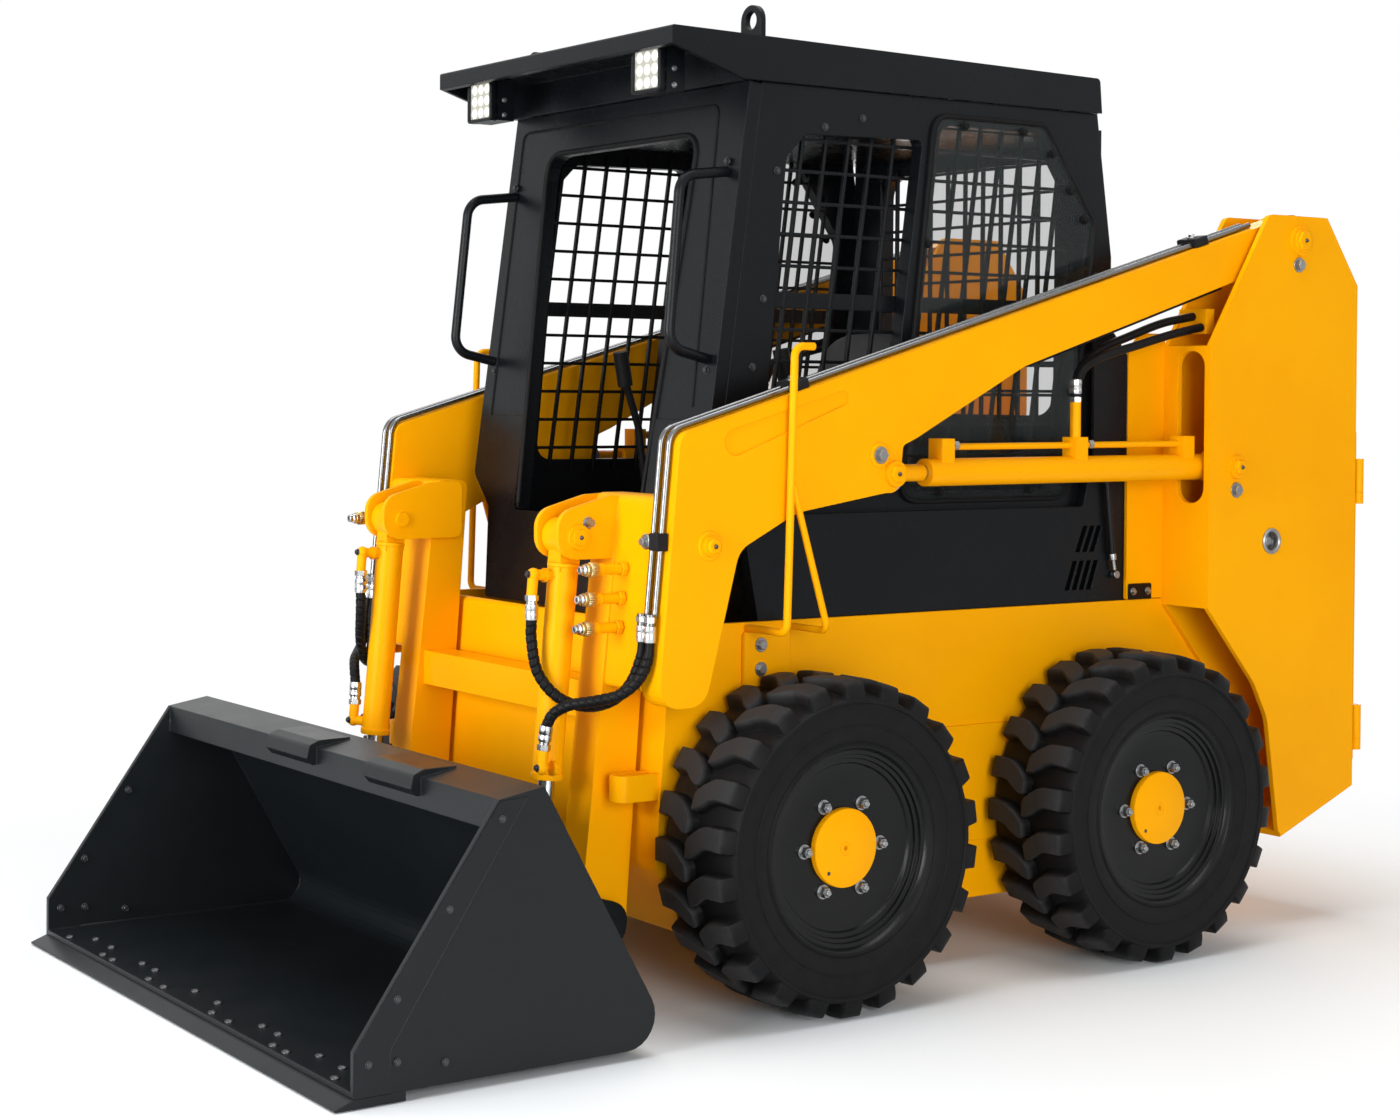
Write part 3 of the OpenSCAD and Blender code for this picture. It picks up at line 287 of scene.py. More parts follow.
class Finish:
    """A material whose nodes are added one call at a time."""

    def __init__(self, name, **values):
        self.material = bpy.data.materials.new(name)
        self.material.use_nodes = True
        self.tree = self.material.node_tree
        self.shader = self.tree.nodes["Principled BSDF"]
        self.set(**values)

    def node(self, kind, settings=None, sockets=None, output=0):
        """A node with its settings, then the values or links of its sockets; returns one of its outputs."""
        made = self.tree.nodes.new(kind)
        for key, value in (settings or {}).items():
            setattr(made, key, value)
        for key, value in (sockets or {}).items():
            self.join(made.inputs[key], value)
        return Value(self, made.outputs[output])

    def join(self, socket, value):
        """Links a value to a socket, or sets the socket to a plain one."""
        if isinstance(value, Value):
            self.tree.links.new(value.socket, socket)
        else:
            socket.default_value = value

    def set(self, **values):
        """Values or links of the shader's own sockets, named with underscores for spaces."""
        for key, value in values.items():
            self.join(self.shader.inputs[key.replace("_", " ")], value)

    def where(self):
        """Object coordinates, in metres."""
        return self.node("ShaderNodeTexCoord", None, None, 3)

    def axes(self):
        """The three Object coordinates as values."""
        split = self.node("ShaderNodeSeparateXYZ", None, {0: self.where()}).socket.node
        return [Value(self, out) for out in split.outputs]

    def noise(self, scale, detail=3.0, roughness=0.55):
        """Noise of a scale per metre."""
        sockets = {"Vector": self.where(), "Scale": scale, "Detail": detail, "Roughness": roughness}
        return self.node("ShaderNodeTexNoise", None, sockets)

    def mix(self, share, first, second):
        """Colour between two, by share."""
        return self.node("ShaderNodeMix", {"data_type": "RGBA"}, {0: share, 6: first, 7: second}, 2)

    def bump(self, height, distance, round_edge=0.0):
        """Normal from a height in metres times distance, over edges rounded by a small radius."""
        sockets = {"Strength": 1.0, "Distance": distance, "Height": height}
        if round_edge:
            sockets["Normal"] = self.node("ShaderNodeBevel", {"samples": 4}, {0: round_edge})
        return self.node("ShaderNodeBump", None, sockets)


def rgb(red, green, blue):
    """Colour for a socket, with full alpha."""
    return (red, green, blue, 1.0)


def paint(name, colour, worn, roughness, gloss, grain, edge):
    """Sprayed paint: a slow drift between two tones, fine orange peel, and rounded plate edges."""
    f = Finish(name, Specular_IOR_Level=gloss)
    drift, peel = f.noise(2.4, 4.0), f.noise(grain, 2.0)
    f.set(Base_Color=f.mix(drift.ease(0.35, 0.75), rgb(*colour), rgb(*worn)))
    f.set(Roughness=roughness + (f.noise(9.0, 4.0) - 0.5) * 0.14, Normal=f.bump(peel, 0.0003, edge))
    return f


def metal(name, colour, roughness, grain):
    """Bare metal: a fine grain in its gloss and its tone."""
    f = Finish(name, Metallic=1.0)
    speckle = f.noise(grain, 3.0, 0.6)
    f.set(Base_Color=f.mix(speckle, rgb(*colour), rgb(*(0.72 * c for c in colour))))
    f.set(Roughness=roughness + speckle * 0.12, Normal=f.bump(speckle, 0.00008, 0.001))
    return f


def moulded(name, colour, worn, roughness, grain, depth, edge=0.0015):
    """Rubber or plastic from a mould: a fine grain in its surface and a slow change of tone."""
    f = Finish(name, Specular_IOR_Level=0.10)
    tone = f.noise(grain / 40, 4.0)
    f.set(Base_Color=f.mix(tone.ease(0.3, 0.8), rgb(*colour), rgb(*worn)))
    f.set(Roughness=roughness + (tone - 0.5) * 0.12, Normal=f.bump(f.noise(grain, 3.0), depth, edge))
    return f


yellow = paint("yellow_paint", (0.92, 0.388, 0.0008), (0.89, 0.357, 0.0007), 0.34, 0.05, 260.0, 0.003)
cab_black = paint("cab_black", (0.0032, 0.0042, 0.0054), (0.0048, 0.0058, 0.007), 0.27, 0.16, 700.0, 0.004)
bucket_paint = paint("bucket_grey", (0.0058, 0.0076, 0.0086), (0.0078, 0.0096, 0.0106),
                     0.33, 0.24, 420.0, 0.004)
rim_black = paint("rim_black", (0.0022, 0.0025, 0.0028), (0.0034, 0.0037, 0.004), 0.24, 0.22, 420.0, 0.002)
steel = metal("bright_steel", (0.62, 0.63, 0.64), 0.18, 240.0)
tube_steel = metal("tube_steel", (0.22, 0.222, 0.226), 0.20, 240.0)
zinc = metal("zinc_bolts", (0.38, 0.385, 0.39), 0.28, 600.0)
dark_steel = metal("dark_steel", (0.085, 0.085, 0.09), 0.38, 600.0)
brass = metal("coupler_brass", (0.62, 0.46, 0.20), 0.30, 600.0)
cast = moulded("cast_iron", (0.07, 0.07, 0.07), (0.10, 0.098, 0.095), 0.65, 900.0, 0.0006, 0.002)
RUBBER, WORN_RUBBER, LUG_TOP = (0.005, 0.005, 0.0055), (0.0075, 0.0075, 0.008), (0.026, 0.026, 0.027)
tyre_rubber = moulded("tyre_rubber", RUBBER, WORN_RUBBER, 0.52, 900.0, 0.0003)
hose_rubber = moulded("hose_rubber", RUBBER, (0.0085, 0.0085, 0.009), 0.42, 1200.0, 0.0001, 0.0)
lever_plastic = moulded("lever_plastic", (0.010, 0.010, 0.011), (0.014, 0.014, 0.015), 0.5, 1500.0, 0.0001)
gasket = moulded("door_gasket", (0.0045, 0.0045, 0.005), WORN_RUBBER, 0.5, 1500.0, 0.0001, 0.0)


def worn_tread(f):
    """Paler, dusty rubber on the lugs' tops: by distance from the axle, the same at all four wheels."""
    x, _, z = f.axes()
    along, up = (x - mid_x).size() - WHEEL_X / 1000, z - WHEEL_R / 1000
    distance = (along * along + up * up) ** 0.5
    out = (distance + (f.noise(60.0) - 0.5) * 0.012).ease(0.362, 0.380)
    skin = f.mix(f.noise(22.0, 4.0).ease(0.3, 0.8), rgb(*RUBBER), rgb(*WORN_RUBBER))
    f.set(Base_Color=f.mix(out, skin, rgb(*LUG_TOP)))


worn_tread(tyre_rubber)


def leather_finish():
    """Seat leather: pebbled cells as bump, and a slow change of tone."""
    f = Finish("seat_leather")
    cells = f.node("ShaderNodeTexVoronoi", {"feature": "SMOOTH_F1"}, {"Vector": f.where(), "Scale": 380.0})
    f.set(Base_Color=f.mix(f.noise(14.0, 4.0), rgb(0.013, 0.013, 0.014), rgb(0.024, 0.024, 0.025)))
    f.set(Roughness=0.48 + cells * 0.2, Normal=f.bump(cells, 0.0006))
    return f


def glass_finish():
    """Dark tinted pane, a little see-through, with a faint film of dust in its gloss."""
    f = Finish("tinted_glass", Alpha=0.26, Specular_IOR_Level=0.5)
    f.set(Base_Color=f.mix(f.noise(5.0), rgb(0.014, 0.020, 0.020), rgb(0.022, 0.030, 0.030)))
    f.set(Roughness=0.03 + f.noise(30.0, 4.0) * 0.06)
    return f


def lamp_finish():
    """Lamp lens: a three by three field of bright round cells on a dark reflector."""
    f = Finish("lamp_lens", Roughness=0.08)
    _, y, z = f.axes()
    cell = 0.030
    across = (y.size() - LAMP_Y / 1000 + cell / 2) / cell
    up = (z - LAMP_Z / 1000 + cell / 2) / cell
    parts = [value - value.maths("FLOOR", value) - 0.5 for value in (across, up)]
    spread = (parts[0] * parts[0] + parts[1] * parts[1]) ** 0.5
    bulb = 1 - spread.ease(0.30, 0.50)
    f.set(Base_Color=f.mix(bulb, rgb(0.20, 0.20, 0.17), rgb(0.60, 0.60, 0.56)))
    f.set(Emission_Color=f.mix(bulb, rgb(0.42, 0.40, 0.33), rgb(1.0, 0.99, 0.95)), Emission_Strength=0.7)
    return f


def red_lens_finish():
    """Red lens with a fine grid of prisms."""
    f = Finish("red_lens", Roughness=0.12, Coat_Weight=0.4)
    _, y, z = f.axes()
    ribs = (y * 900.0).sine() * (z * 900.0).sine()
    f.set(Base_Color=f.mix(ribs.ease(-1.0, 1.0), rgb(0.30, 0.006, 0.006), rgb(0.50, 0.015, 0.012)))
    f.set(Normal=f.bump(ribs, 0.0004))
    return f


leather, glass, lamp, red_lens = leather_finish(), glass_finish(), lamp_finish(), red_lens_finish()

finish_by_slot = {
    "yellow_paint": yellow, "cab_black": cab_black, "bucket_grey": bucket_paint, "bright_steel": steel,
    "rubber": tyre_rubber, "hose_rubber": hose_rubber, "tinted_glass": glass, "lamp_glass": lamp,
    "red_lens": red_lens, "seat_fabric": leather, "cast": cast, "coupler_metal": brass,
    "lever_plastic": lever_plastic,
}
by_node = {"arm_tubes": tube_steel}
for item in frame["record"]["subparts"]:
    skin = nodes[item["node"]].data.materials
    skin.clear()
    skin.append(by_node.get(item["node"], finish_by_slot[item["material_slot"]]).material)

# Camera, at the photograph's place and angle

CAMERA_SPOT = (3913.42, 4847.27, 1396.42)
azimuth, elevation, roll = np.radians([146.98157, 0.65279, 0.44496])
flat = np.cos(elevation)
back = np.array([np.sin(azimuth) * flat, -np.cos(azimuth) * flat, np.sin(elevation)])
level = np.array([np.cos(azimuth), np.sin(azimuth), 0.0])
upright = np.cross(back, level)
right = np.cos(roll) * level + np.sin(roll) * upright
above = np.cos(roll) * upright - np.sin(roll) * level
view = bpy.data.cameras.new("camera")
view.sensor_fit, view.sensor_width, view.lens = "HORIZONTAL", 36.0, 60.825
view.shift_x, view.shift_y, view.clip_end = 0.10036, -0.10184, 200.0
camera = bpy.data.objects.new("camera", view)
pose = np.eye(4)
pose[:3, :3] = np.stack([right, above, back], axis=1)
pose[:3, 3] = place(CAMERA_SPOT)
camera.matrix_world = Matrix(pose.tolist())
bpy.context.scene.collection.objects.link(camera)
bpy.context.scene.camera = camera

# Hoses, each a tube along its route; the tilt hoses have a wound guard, the lift hoses are plain

hose_routes = {
    "tilt_a": [[941, 613, 848], [945, 611, 808], [957, 591, 755], [980, 556, 715], [1012, 502, 698],
               [1055, 454, 715], [1086, 417, 767], [1094, 401, 840], [1094, 401, 890], [1094, 401, 932]],
    "tilt_b": [[941, 643, 848], [946, 641, 812], [960, 628, 768], [986, 596, 733], [1022, 551, 716],
               [1056, 503, 704], [1076, 465, 681], [1083, 446, 645], [1086, 443, 608]],
    "lift_a": [[-355, 623, 1382], [-357, 623, 1420], [-385, 621, 1470], [-450, 616, 1510], [-560, 610, 1545],
               [-680, 606, 1580], [-796, 604, 1600]],
    "lift_b": [[-335, 649, 1382], [-337, 649, 1420], [-362, 649, 1462], [-430, 647, 1492], [-550, 640, 1520],
               [-680, 634, 1550], [-796, 632, 1572]],
}
TILT_HOSE_R, LIFT_HOSE_R = 13.0, 11.0
# Radius, direction across the route and depth of the guard
hose_size = {"tilt": (TILT_HOSE_R, (0.8, 0.6, 0.0), 3.0), "lift": (LIFT_HOSE_R, (0.0, 1.0, 0.0), 0.0)}
GUARD_PITCH, GUARD_FADE = 18.0, 30.0


def guarded_hose(path, radius, side, guard):
    """Tube with a flat guard wound round it: its radius is r - g + g w, with w rising along each turn.

    With f the fraction of s / pitch - t / 2 pi, s along the tube and t round it, w is the least of
    0.8 + 0.2 f, 9 (1 - f) and 7 f. The guard fades out near both ends, where the plain hose enters its
    fittings.
    """
    run = np.concatenate([[0], np.cumsum(np.linalg.norm(np.diff(path, axis=0), axis=1))])
    t = np.linspace(0, 2 * np.pi, 20, endpoint=False)
    fade = np.clip(np.minimum(run, run[-1] - run) / GUARD_FADE - 0.4, 0, 1)[:, None]
    f = (run[:, None] / GUARD_PITCH - t / (2 * np.pi)) % 1.0
    climb = np.minimum(np.minimum(0.80 + 0.20 * f, 9 * (1 - f)), 7 * f)
    r = radius - guard + guard * fade * climb
    return swept(path, np.stack([r * np.cos(t), r * np.sin(t)], -1), side)


for label, route in hose_routes.items():
    kind = label[:4]
    radius, side, guard = hose_size[kind]
    for hand, flip in SIDES.items():
        path = smooth_path(route, 1.6)
        hose = Shape().add(guarded_hose(path, radius, side, guard))
        hose = hose.make(f"{kind}_hose_{label[-1]}_{hand}", hose_rubber, None, "hose_rubber",
                         f"{kind}_hoses_{hand}", flip=flip)
        line = place(path * (1, flip, 1))
        if kind == "tilt":
            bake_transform(hose)
        else:
            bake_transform(hose)

# Floor and light

bpy.context.scene.view_settings.view_transform = "Standard"
floor_finish = Finish("floor", Roughness=0.9, Specular_IOR_Level=0.1)
fx, fy, _ = floor_finish.axes()
far = ((fx * fx * 0.6 + fy * fy) ** 0.5).ease(1.35, 2.9)
floor_tone = floor_finish.mix(floor_finish.noise(3.0), rgb(0.90, 0.932, 0.950), rgb(0.885, 0.917, 0.935))
floor_finish.set(Base_Color=floor_tone)
glow = floor_finish.node("ShaderNodeEmission", None, {"Color": rgb(1.0, 1.0, 1.0), "Strength": 1.0})
seen = floor_finish.node("ShaderNodeLightPath", None, None, 0)
blend = floor_finish.node("ShaderNodeMixShader", None, {0: far * seen, 2: glow})
links = floor_finish.tree.links
links.new(floor_finish.shader.outputs[0], blend.socket.node.inputs[1])
links.new(blend.socket, floor_finish.tree.nodes["Material Output"].inputs[0])
reach = 60.0
floor_corners = [(-reach, -reach, 0), (reach, -reach, 0), (reach, reach, 0), (-reach, reach, 0)]
floor_mesh = bpy.data.meshes.new("floor")
floor_mesh.from_pydata(floor_corners, [], [(0, 1, 2, 3)])
floor_mesh.materials.append(floor_finish.material)
floor = bpy.data.objects.new("floor", floor_mesh)
bpy.context.scene.collection.objects.link(floor)

world = bpy.data.worlds.new("studio")
world.use_nodes = True
bpy.context.scene.world = world
sky = world.node_tree
rays = sky.nodes.new("ShaderNodeLightPath")
bright = rays.outputs["Is Camera Ray"]
for kind in ("Is Transmission Ray", "Is Glossy Ray"):
    either = sky.nodes.new("ShaderNodeMath")
    either.operation = "MAXIMUM"
    sky.links.new(bright, either.inputs[0])
    sky.links.new(rays.outputs[kind], either.inputs[1])
    bright = either.outputs[0]
strength = sky.nodes.new("ShaderNodeMapRange")
sky.links.new(bright, strength.inputs[0])
strength.inputs["To Min"].default_value, strength.inputs["To Max"].default_value = 0.24, 1.0
sky.links.new(strength.outputs[0], sky.nodes["Background"].inputs["Strength"])
sky.nodes["Background"].inputs["Color"].default_value = rgb(1.0, 1.0, 1.0)


def soft_lamp(name, spot, aim, size, power):
    """Square area lamp at a spot in metres, facing a point."""
    light = bpy.data.lights.new(name, "AREA")
    light.shape, light.size, light.energy = "SQUARE", size, power
    holder = bpy.data.objects.new(name, light)
    turn = np.eye(4)
    turn[:3, :3] = basis(np.subtract(spot, aim))
    turn[:3, 3] = spot
    holder.matrix_world = Matrix(turn.tolist())
    bpy.context.scene.collection.objects.link(holder)


soft_lamp("key_lamp", (2.5, 8.0, 2.1), (0.0, 0.0, 1.1), 4.0, 360.0)
soft_lamp("front_lamp", (7.5, 1.0, 2.0), (0.0, 0.0, 0.9), 3.5, 500.0)
soft_lamp("top_lamp", (0.0, 0.0, 7.0), (0.0, 0.0, 0.5), 5.0, 330.0)
soft_lamp("rear_lamp", (-6.5, -4.5, 3.0), (0.0, 0.0, 0.9), 4.0, 200.0)

# Wheels

LUGS = 22
wheel_names = [(end, hand) for end in ("front", "rear") for hand in SIDES]


def tyre_surfaces(shape, centre):
    """Carcass turned from its section, and two rows of hooked lugs lofted across the tread.

    A lug is a row of six-point sections along its middle line: the line leaves the sidewall's outer rib,
    turns over the shoulder and bends along the tread near the middle. Its points are (r sin a, w, r cos a),
    with the angle a = s / R + k pitch for lug k, w across the tyre, and r between the carcass and the
    tread's top.
    """
    half = [(222, 100), (228, 116), (236, 121), (240, 118), (246, 121), (262, 125.5), (275, 127),
            (276, 129), (279, 129), (280, 127), (304, 127.5), (326, 126.5), (328, 130), (334, 130.5),
            (337, 127), (341, 118), (346, 98), (350, 70), (352, 34)]
    section = np.array(half + [(r, -w) for r, w in half[::-1]] + [(222, -60), (222, 60)], float)
    shape.add(turned(section, centre, Y, 96, ring=True))
    top = np.array([(336, 128.5), (345, 127.5), (360, 123.5), (372, 118.5), (374.5, 115), (378, 92),
                    (379.6, 74), (380, 56), (380, 40), (380, 22), (380, 8), (378, 1), (372, -2.5),
                    (350, -5)], float)
    low = np.array([(330, 122), (334, 118), (338, 112), (341, 107), (343, 104), (346, 86), (348, 70),
                    (349, 52), (349, 37), (349, 19), (349, 5), (349, -3), (348, -7), (346, -8)], float)
    bend = np.clip(62 - top[:, 1], 0, None) * 0.60
    wide = np.array([27, 27, 26.5, 26, 26, 24.5, 24, 25, 26.5, 26.5, 23, 17, 12, 10], float)
    across = np.array([-1.30, -1.0, -0.93, 0.93, 1.0, 1.30])
    tall = np.array([0.0, 0.95, 1.0, 1.0, 0.95, 0.0])
    s = bend[:, None] + wide[:, None] * across
    r = low[:, :1] + (top - low)[:, :1] * tall
    w = low[:, 1:] + (top - low)[:, 1:] * tall
    a = s / WHEEL_R
    for row, step in ((1, 0.0), (-1, 0.5)):
        lug = loft(np.stack([r * np.sin(a), row * w, r * np.cos(a)], -1))
        k = (np.arange(LUGS) + step) * 2 * np.pi / LUGS
        turns = np.zeros((LUGS, 3, 3))
        turns[:, 0, 0], turns[:, 0, 2] = np.cos(k), np.sin(k)
        turns[:, 2, 0], turns[:, 2, 2] = -np.sin(k), np.cos(k)
        turns[:, 1, 1] = 1
        shape.add(lug, turns, np.tile(centre, (LUGS, 1)))


def rim_surface(centre):
    """Rim and disc turned as one ring: flange, three steps down to the disc, and the barrel behind."""
    section = [(236, 106), (239, 112), (236, 117), (228, 118), (224, 114), (220, 106), (212, 105),
               (210, 98), (202, 97), (200, 90), (191, 88.5), (187, 82), (172, 80), (140, 80), (60, 80),
               (60, 66), (150, 66), (178, 66), (192, 50), (206, -90), (226, -114), (236, -112), (234, -104),
               (221, -98), (221, 96), (232, 103)]
    return turned(section, centre, Y, 72, ring=True)


def ringed(rows, sides):
    """Rings of (radius, height) lofted along +z: points (r cos t, r sin t, h) at a number of sides."""
    t = np.arange(sides) * 2 * np.pi / sides
    return loft(np.stack([np.stack([r * np.cos(t), r * np.sin(t), np.full(sides, h)], -1) for r, h in rows]))


def hex_fastener(radius, height, washer):
    """Six-sided head and washer along +z from zero, each with a cut top edge."""
    base = 3.0
    head = ringed([(radius, base), (radius, base + 0.8 * height), (0.86 * radius, base + height)], 6)
    disc = ringed([(washer, -1.0), (washer, base - 0.7), (washer - 0.7, base)], 16)
    return head, disc


def bolts(shape, spots, axis, radius, height, washer):
    """A washer and a six-sided head at each spot, standing on a face whose outward direction is axis."""
    spots = np.asarray(spots, float).reshape(-1, 3)
    turns = np.tile(basis(axis), (len(spots), 1, 1))
    for surface in hex_fastener(radius, height, washer):
        shape.add(surface, turns, spots)
    return shape


NUTS, NUT_CIRCLE, DISC_OUT = 6, 109.0, 80.0
HUB_CAP = [(89, 44), (89, 92), (88, 94.5), (86, 95.5), (17, 95.5), (16, 94.6), (13, 94.6), (12, 95.5),
           (6, 95.5), (5, 94), (5, 30)]
for end, hand in wheel_names:
    x, body, flip = WHEEL_X if end == "front" else -WHEEL_X, f"wheel_{end}_{hand}", SIDES[hand]
    centre = np.array([x, WHEEL_Y, WHEEL_R])
    tyre = Shape()
    tyre_surfaces(tyre, centre)
    tyre.make(f"tyre_with_lugs_{end}_{hand}", tyre_rubber, body, "rubber", f"tyre_{end}_{hand}", flip=flip)
    rim = Shape().add(rim_surface(centre))
    rim.make(f"stepped_rim_{end}_{hand}", rim_black, body, "cab_black", f"rim_{end}_{hand}", flip=flip)
    hub = Shape().add(turned(HUB_CAP, centre, Y, 72))
    hub.add(turned([(58, -100), (58, 50)], centre, Y, 40))
    hub.make(f"hub_cap_{end}_{hand}", yellow, body, "yellow_paint", f"rim_{end}_{hand}", flip=flip)
    turn = np.radians(np.arange(NUTS) * 360.0 / NUTS)
    nut_ring = np.stack([np.cos(turn), np.zeros(NUTS), np.sin(turn)], -1)
    spots = centre + NUT_CIRCLE * nut_ring + DISC_OUT * Y
    nuts = bolts(Shape(), spots, Y, 13.0, 14.0, 17.0)
    nuts.add(turned([(7, 0), (7, 22), (5.5, 24)], (0, 0, 0), Z, 12), np.tile(basis(Y), (NUTS, 1, 1)), spots)
    nuts.make(f"wheel_nuts_{end}_{hand}", zinc, body, "bright_steel", flip=flip)
    plug = Shape().add(turned([(4.5, 92), (4.5, 95.9), (3.8, 96.3)], centre + (50.0, 0.0, -52.0), Y, 16))
    plug.make(f"hub_plug_{end}_{hand}", dark_steel, body, "cab_black", flip=flip)

# Seat, a cushion and a backrest with sewn channels

CHANNEL_WIDE, CHANNEL_DEEP = 7.0, 7.0


def pad_surface(middle, axes, half, crown, channels):
    """Crowned closed pad: a squarish ball whose front face bulges and dips along sewn channels.

    A point is middle + u a + v b + w c, with (u, v, w) on the ball |u|^p + |v|^p + |w|^p = 1 scaled to the
    half sizes; the face w > 0 rises by crown times (1 - u^2)(1 - v^2) and dips by a narrow notch at each
    channel's u.
    """
    rows, columns, power = 41, 96, 4.0
    polar = np.linspace(0.02, np.pi - 0.02, rows)[:, None]
    turn = np.linspace(0, 2 * np.pi, columns, endpoint=False)[None]
    ring = np.sin(polar)
    ball = np.stack([ring * np.cos(turn), ring * np.sin(turn), np.cos(polar) + 0 * turn], -1)
    ball /= (np.abs(ball) ** power).sum(-1, keepdims=True) ** (1 / power)
    u, v, w = np.moveaxis(ball, -1, 0)
    lift = crown * (1 - u ** 2) * (1 - v ** 2) * (w > 0)
    notch = sum(np.exp(-((u * half[0] - c) / CHANNEL_WIDE) ** 2) for c in channels)
    w_mm = w * half[2] + lift - CHANNEL_DEEP * notch * (w > 0.3)
    offsets = np.stack([u * half[0], v * half[1], w_mm], -1)
    return loft(offsets @ np.asarray(axes, float) + np.asarray(middle, float))


def seat_pieces():
    """Cushion and backrest, both padded."""
    lean = unit([-97.0, 0.0, 505.0])
    front = np.cross(Y, lean)
    cushion = Shape().add(pad_surface((75, 0, 1035), (X, Y, Z), (228, 238, 42), 14, (-70, 90)))
    rest = Shape().add(pad_surface((-212, 0, 1310), (lean, Y, front), (248, 220, 44), 12, (-110, 60)))
    for shape, name in ((cushion, "seat_cushion"), (rest, "seat_backrest")):
        shape.make(name, leather, "chassis", "seat_fabric", "seat", sharp=60)


seat_pieces()

# Sizes and helpers for the trim, which is alike on both sides unless said

ARM_NOSE_X, ARM_NOSE_Z, ARM_SLOPE = 884, 1303, -569 / 1976
ARM_UP = np.array([0.277, 0.0, 0.961])
LEG_X, LEG_Z, LEG_RAKE = 933, 772, 0.092
ARM_FACE, TOWER_FACE, TUB_FACE = 673.0, 700.0, 542.0
CAB_FACE, PANEL_FACE, BUCKET_FACE = 505.0, 534.0, 816.0
BUCKET_INNER = BUCKET_FACE - 12
CAB_LEAN = np.radians(7.7)
FRAME_UP = np.array([-np.sin(CAB_LEAN), 0.0, np.cos(CAB_LEAN)])
FRAME_OUT = np.array([np.cos(CAB_LEAN), 0.0, np.sin(CAB_LEAN)])
FRAME_FOOT = np.array([676.0, 0.0, 1365.0])
TILT_TOP = np.array([1005.0, 401.0, 1069.0])
TILT_DOWN, TILT_OUT = unit([63.0, 0.0, -747.0]), unit([747.0, 0.0, 63.0])
TUBE_ROWS_Y, TUBES_MID_Y = (613.0, 643.0), 628.0
LIFT_Y, PIPE_Z = 636.0, 1273.0
ROD_EYE, NOSE_PIN = (274, 1209), (805, 1057)
UNDER_FRONT, UNDER_BACK = (-136, 1463), (-1092, 1758)
LINING_Y = 446.0
# Bolt heads: radius, height and the washer's radius
BIG_HEAD, SMALL_HEAD, SCREW_HEAD = (14.0, 11.0, 20.0), (7.0, 5.0, 10.0), (5.0, 4.0, 7.0)


def arm_top(x):
    """Height of the lift arm's top edge at x."""
    return ARM_NOSE_Z + (x - ARM_NOSE_X) * ARM_SLOPE


def leg_front(z):
    """Front of the lift arm's leg at height z."""
    return LEG_X - LEG_RAKE * (z - LEG_Z)


def on_face(spots, y):
    """Spots of (x, z) put on a face at y."""
    spots = np.asarray(spots, float).reshape(-1, 2)
    return np.stack([spots[:, 0], np.full(len(spots), y), spots[:, 1]], -1)


def at(spot, y):
    """One spot of (x, z) put on a face at y."""
    return on_face(spot, y)[0]


def on_frame(flat):
    """Points of (across, up) put on the cab's leaning front."""
    return FRAME_FOOT + flat[:, :1] * Y + flat[:, 1:] * FRAME_UP


def both_sides(name, finish, body, slot, shape):
    """A piece on the left and its mirror image on the right; a body's name may hold the side."""
    for hand, flip in SIDES.items():
        shape.make(f"{name}_{hand}", finish, body.format(hand), slot, flip=flip)


def hose_end(shape, end, into, radius):
    """Swaged hose end: six-sided nut, neck, and a sleeve that tapers onto the hose, turned about its axis."""
    nut = [(0, -7), (2.6, -6), (2.6, 6), (0, 7)]
    sleeve = [(-0.6, 5), (-0.6, 13), (1.4, 14), (2.2, 17), (2.2, 27), (1.5, 28), (1.5, 30), (2.2, 31),
              (2.2, 42), (1.2, 49), (-1, 50)]
    shape.add(turned(np.add(nut, (radius, 0)), end, into, 6))
    shape.add(turned(np.add(sleeve, (radius, 0)), end, into, 28))


def knurled(start, axis, radius, low, high):
    """Grip ring: radius r (1 + 0.05 cos(ribs t)) between two heights along an axis, cut back at both ends."""
    ribs = 20
    t = np.linspace(0, 2 * np.pi, 4 * ribs, endpoint=False)
    wave = radius * (1 + 0.05 * np.cos(ribs * t))
    rows = [(0.9, low), (1.0, low + 2), (1.0, high - 2), (0.9, high)]
    turn = basis(axis)
    ring = np.stack([wave * np.cos(t), wave * np.sin(t), 0 * t], -1)
    sections = np.stack([(ring * share) @ turn.T + height * turn[:, 2] for share, height in rows])
    return loft(sections + np.asarray(start, float))


def clamp_block(shape, x, long, tall):
    """Rounded block over both tubes on the arm's top, swept along the arm."""
    along = unit([1.0, 0.0, ARM_SLOPE])
    stations = np.array([-long / 2, -long / 2 + 2, long / 2 - 2, long / 2])[:, None]
    path = np.array([x, TUBES_MID_Y, arm_top(x)]) + stations * along
    outline = rounded([(-34, 0, 3), (34, 0, 3), (34, tall, 7), (-34, tall, 7)])
    shape.add(swept(path, outline * np.array([0.94, 1.0, 1.0, 0.94])[:, None, None], Y))


# Ends of tubes and hoses, ports and collars of the cylinders

tube_ends = Shape()
for y in TUBE_ROWS_Y:
    hose_end(tube_ends, (941.4, y, 898.0), -Z, 12.0)
both_sides("tube_ends", steel, "lift_arm", "bright_steel", tube_ends)

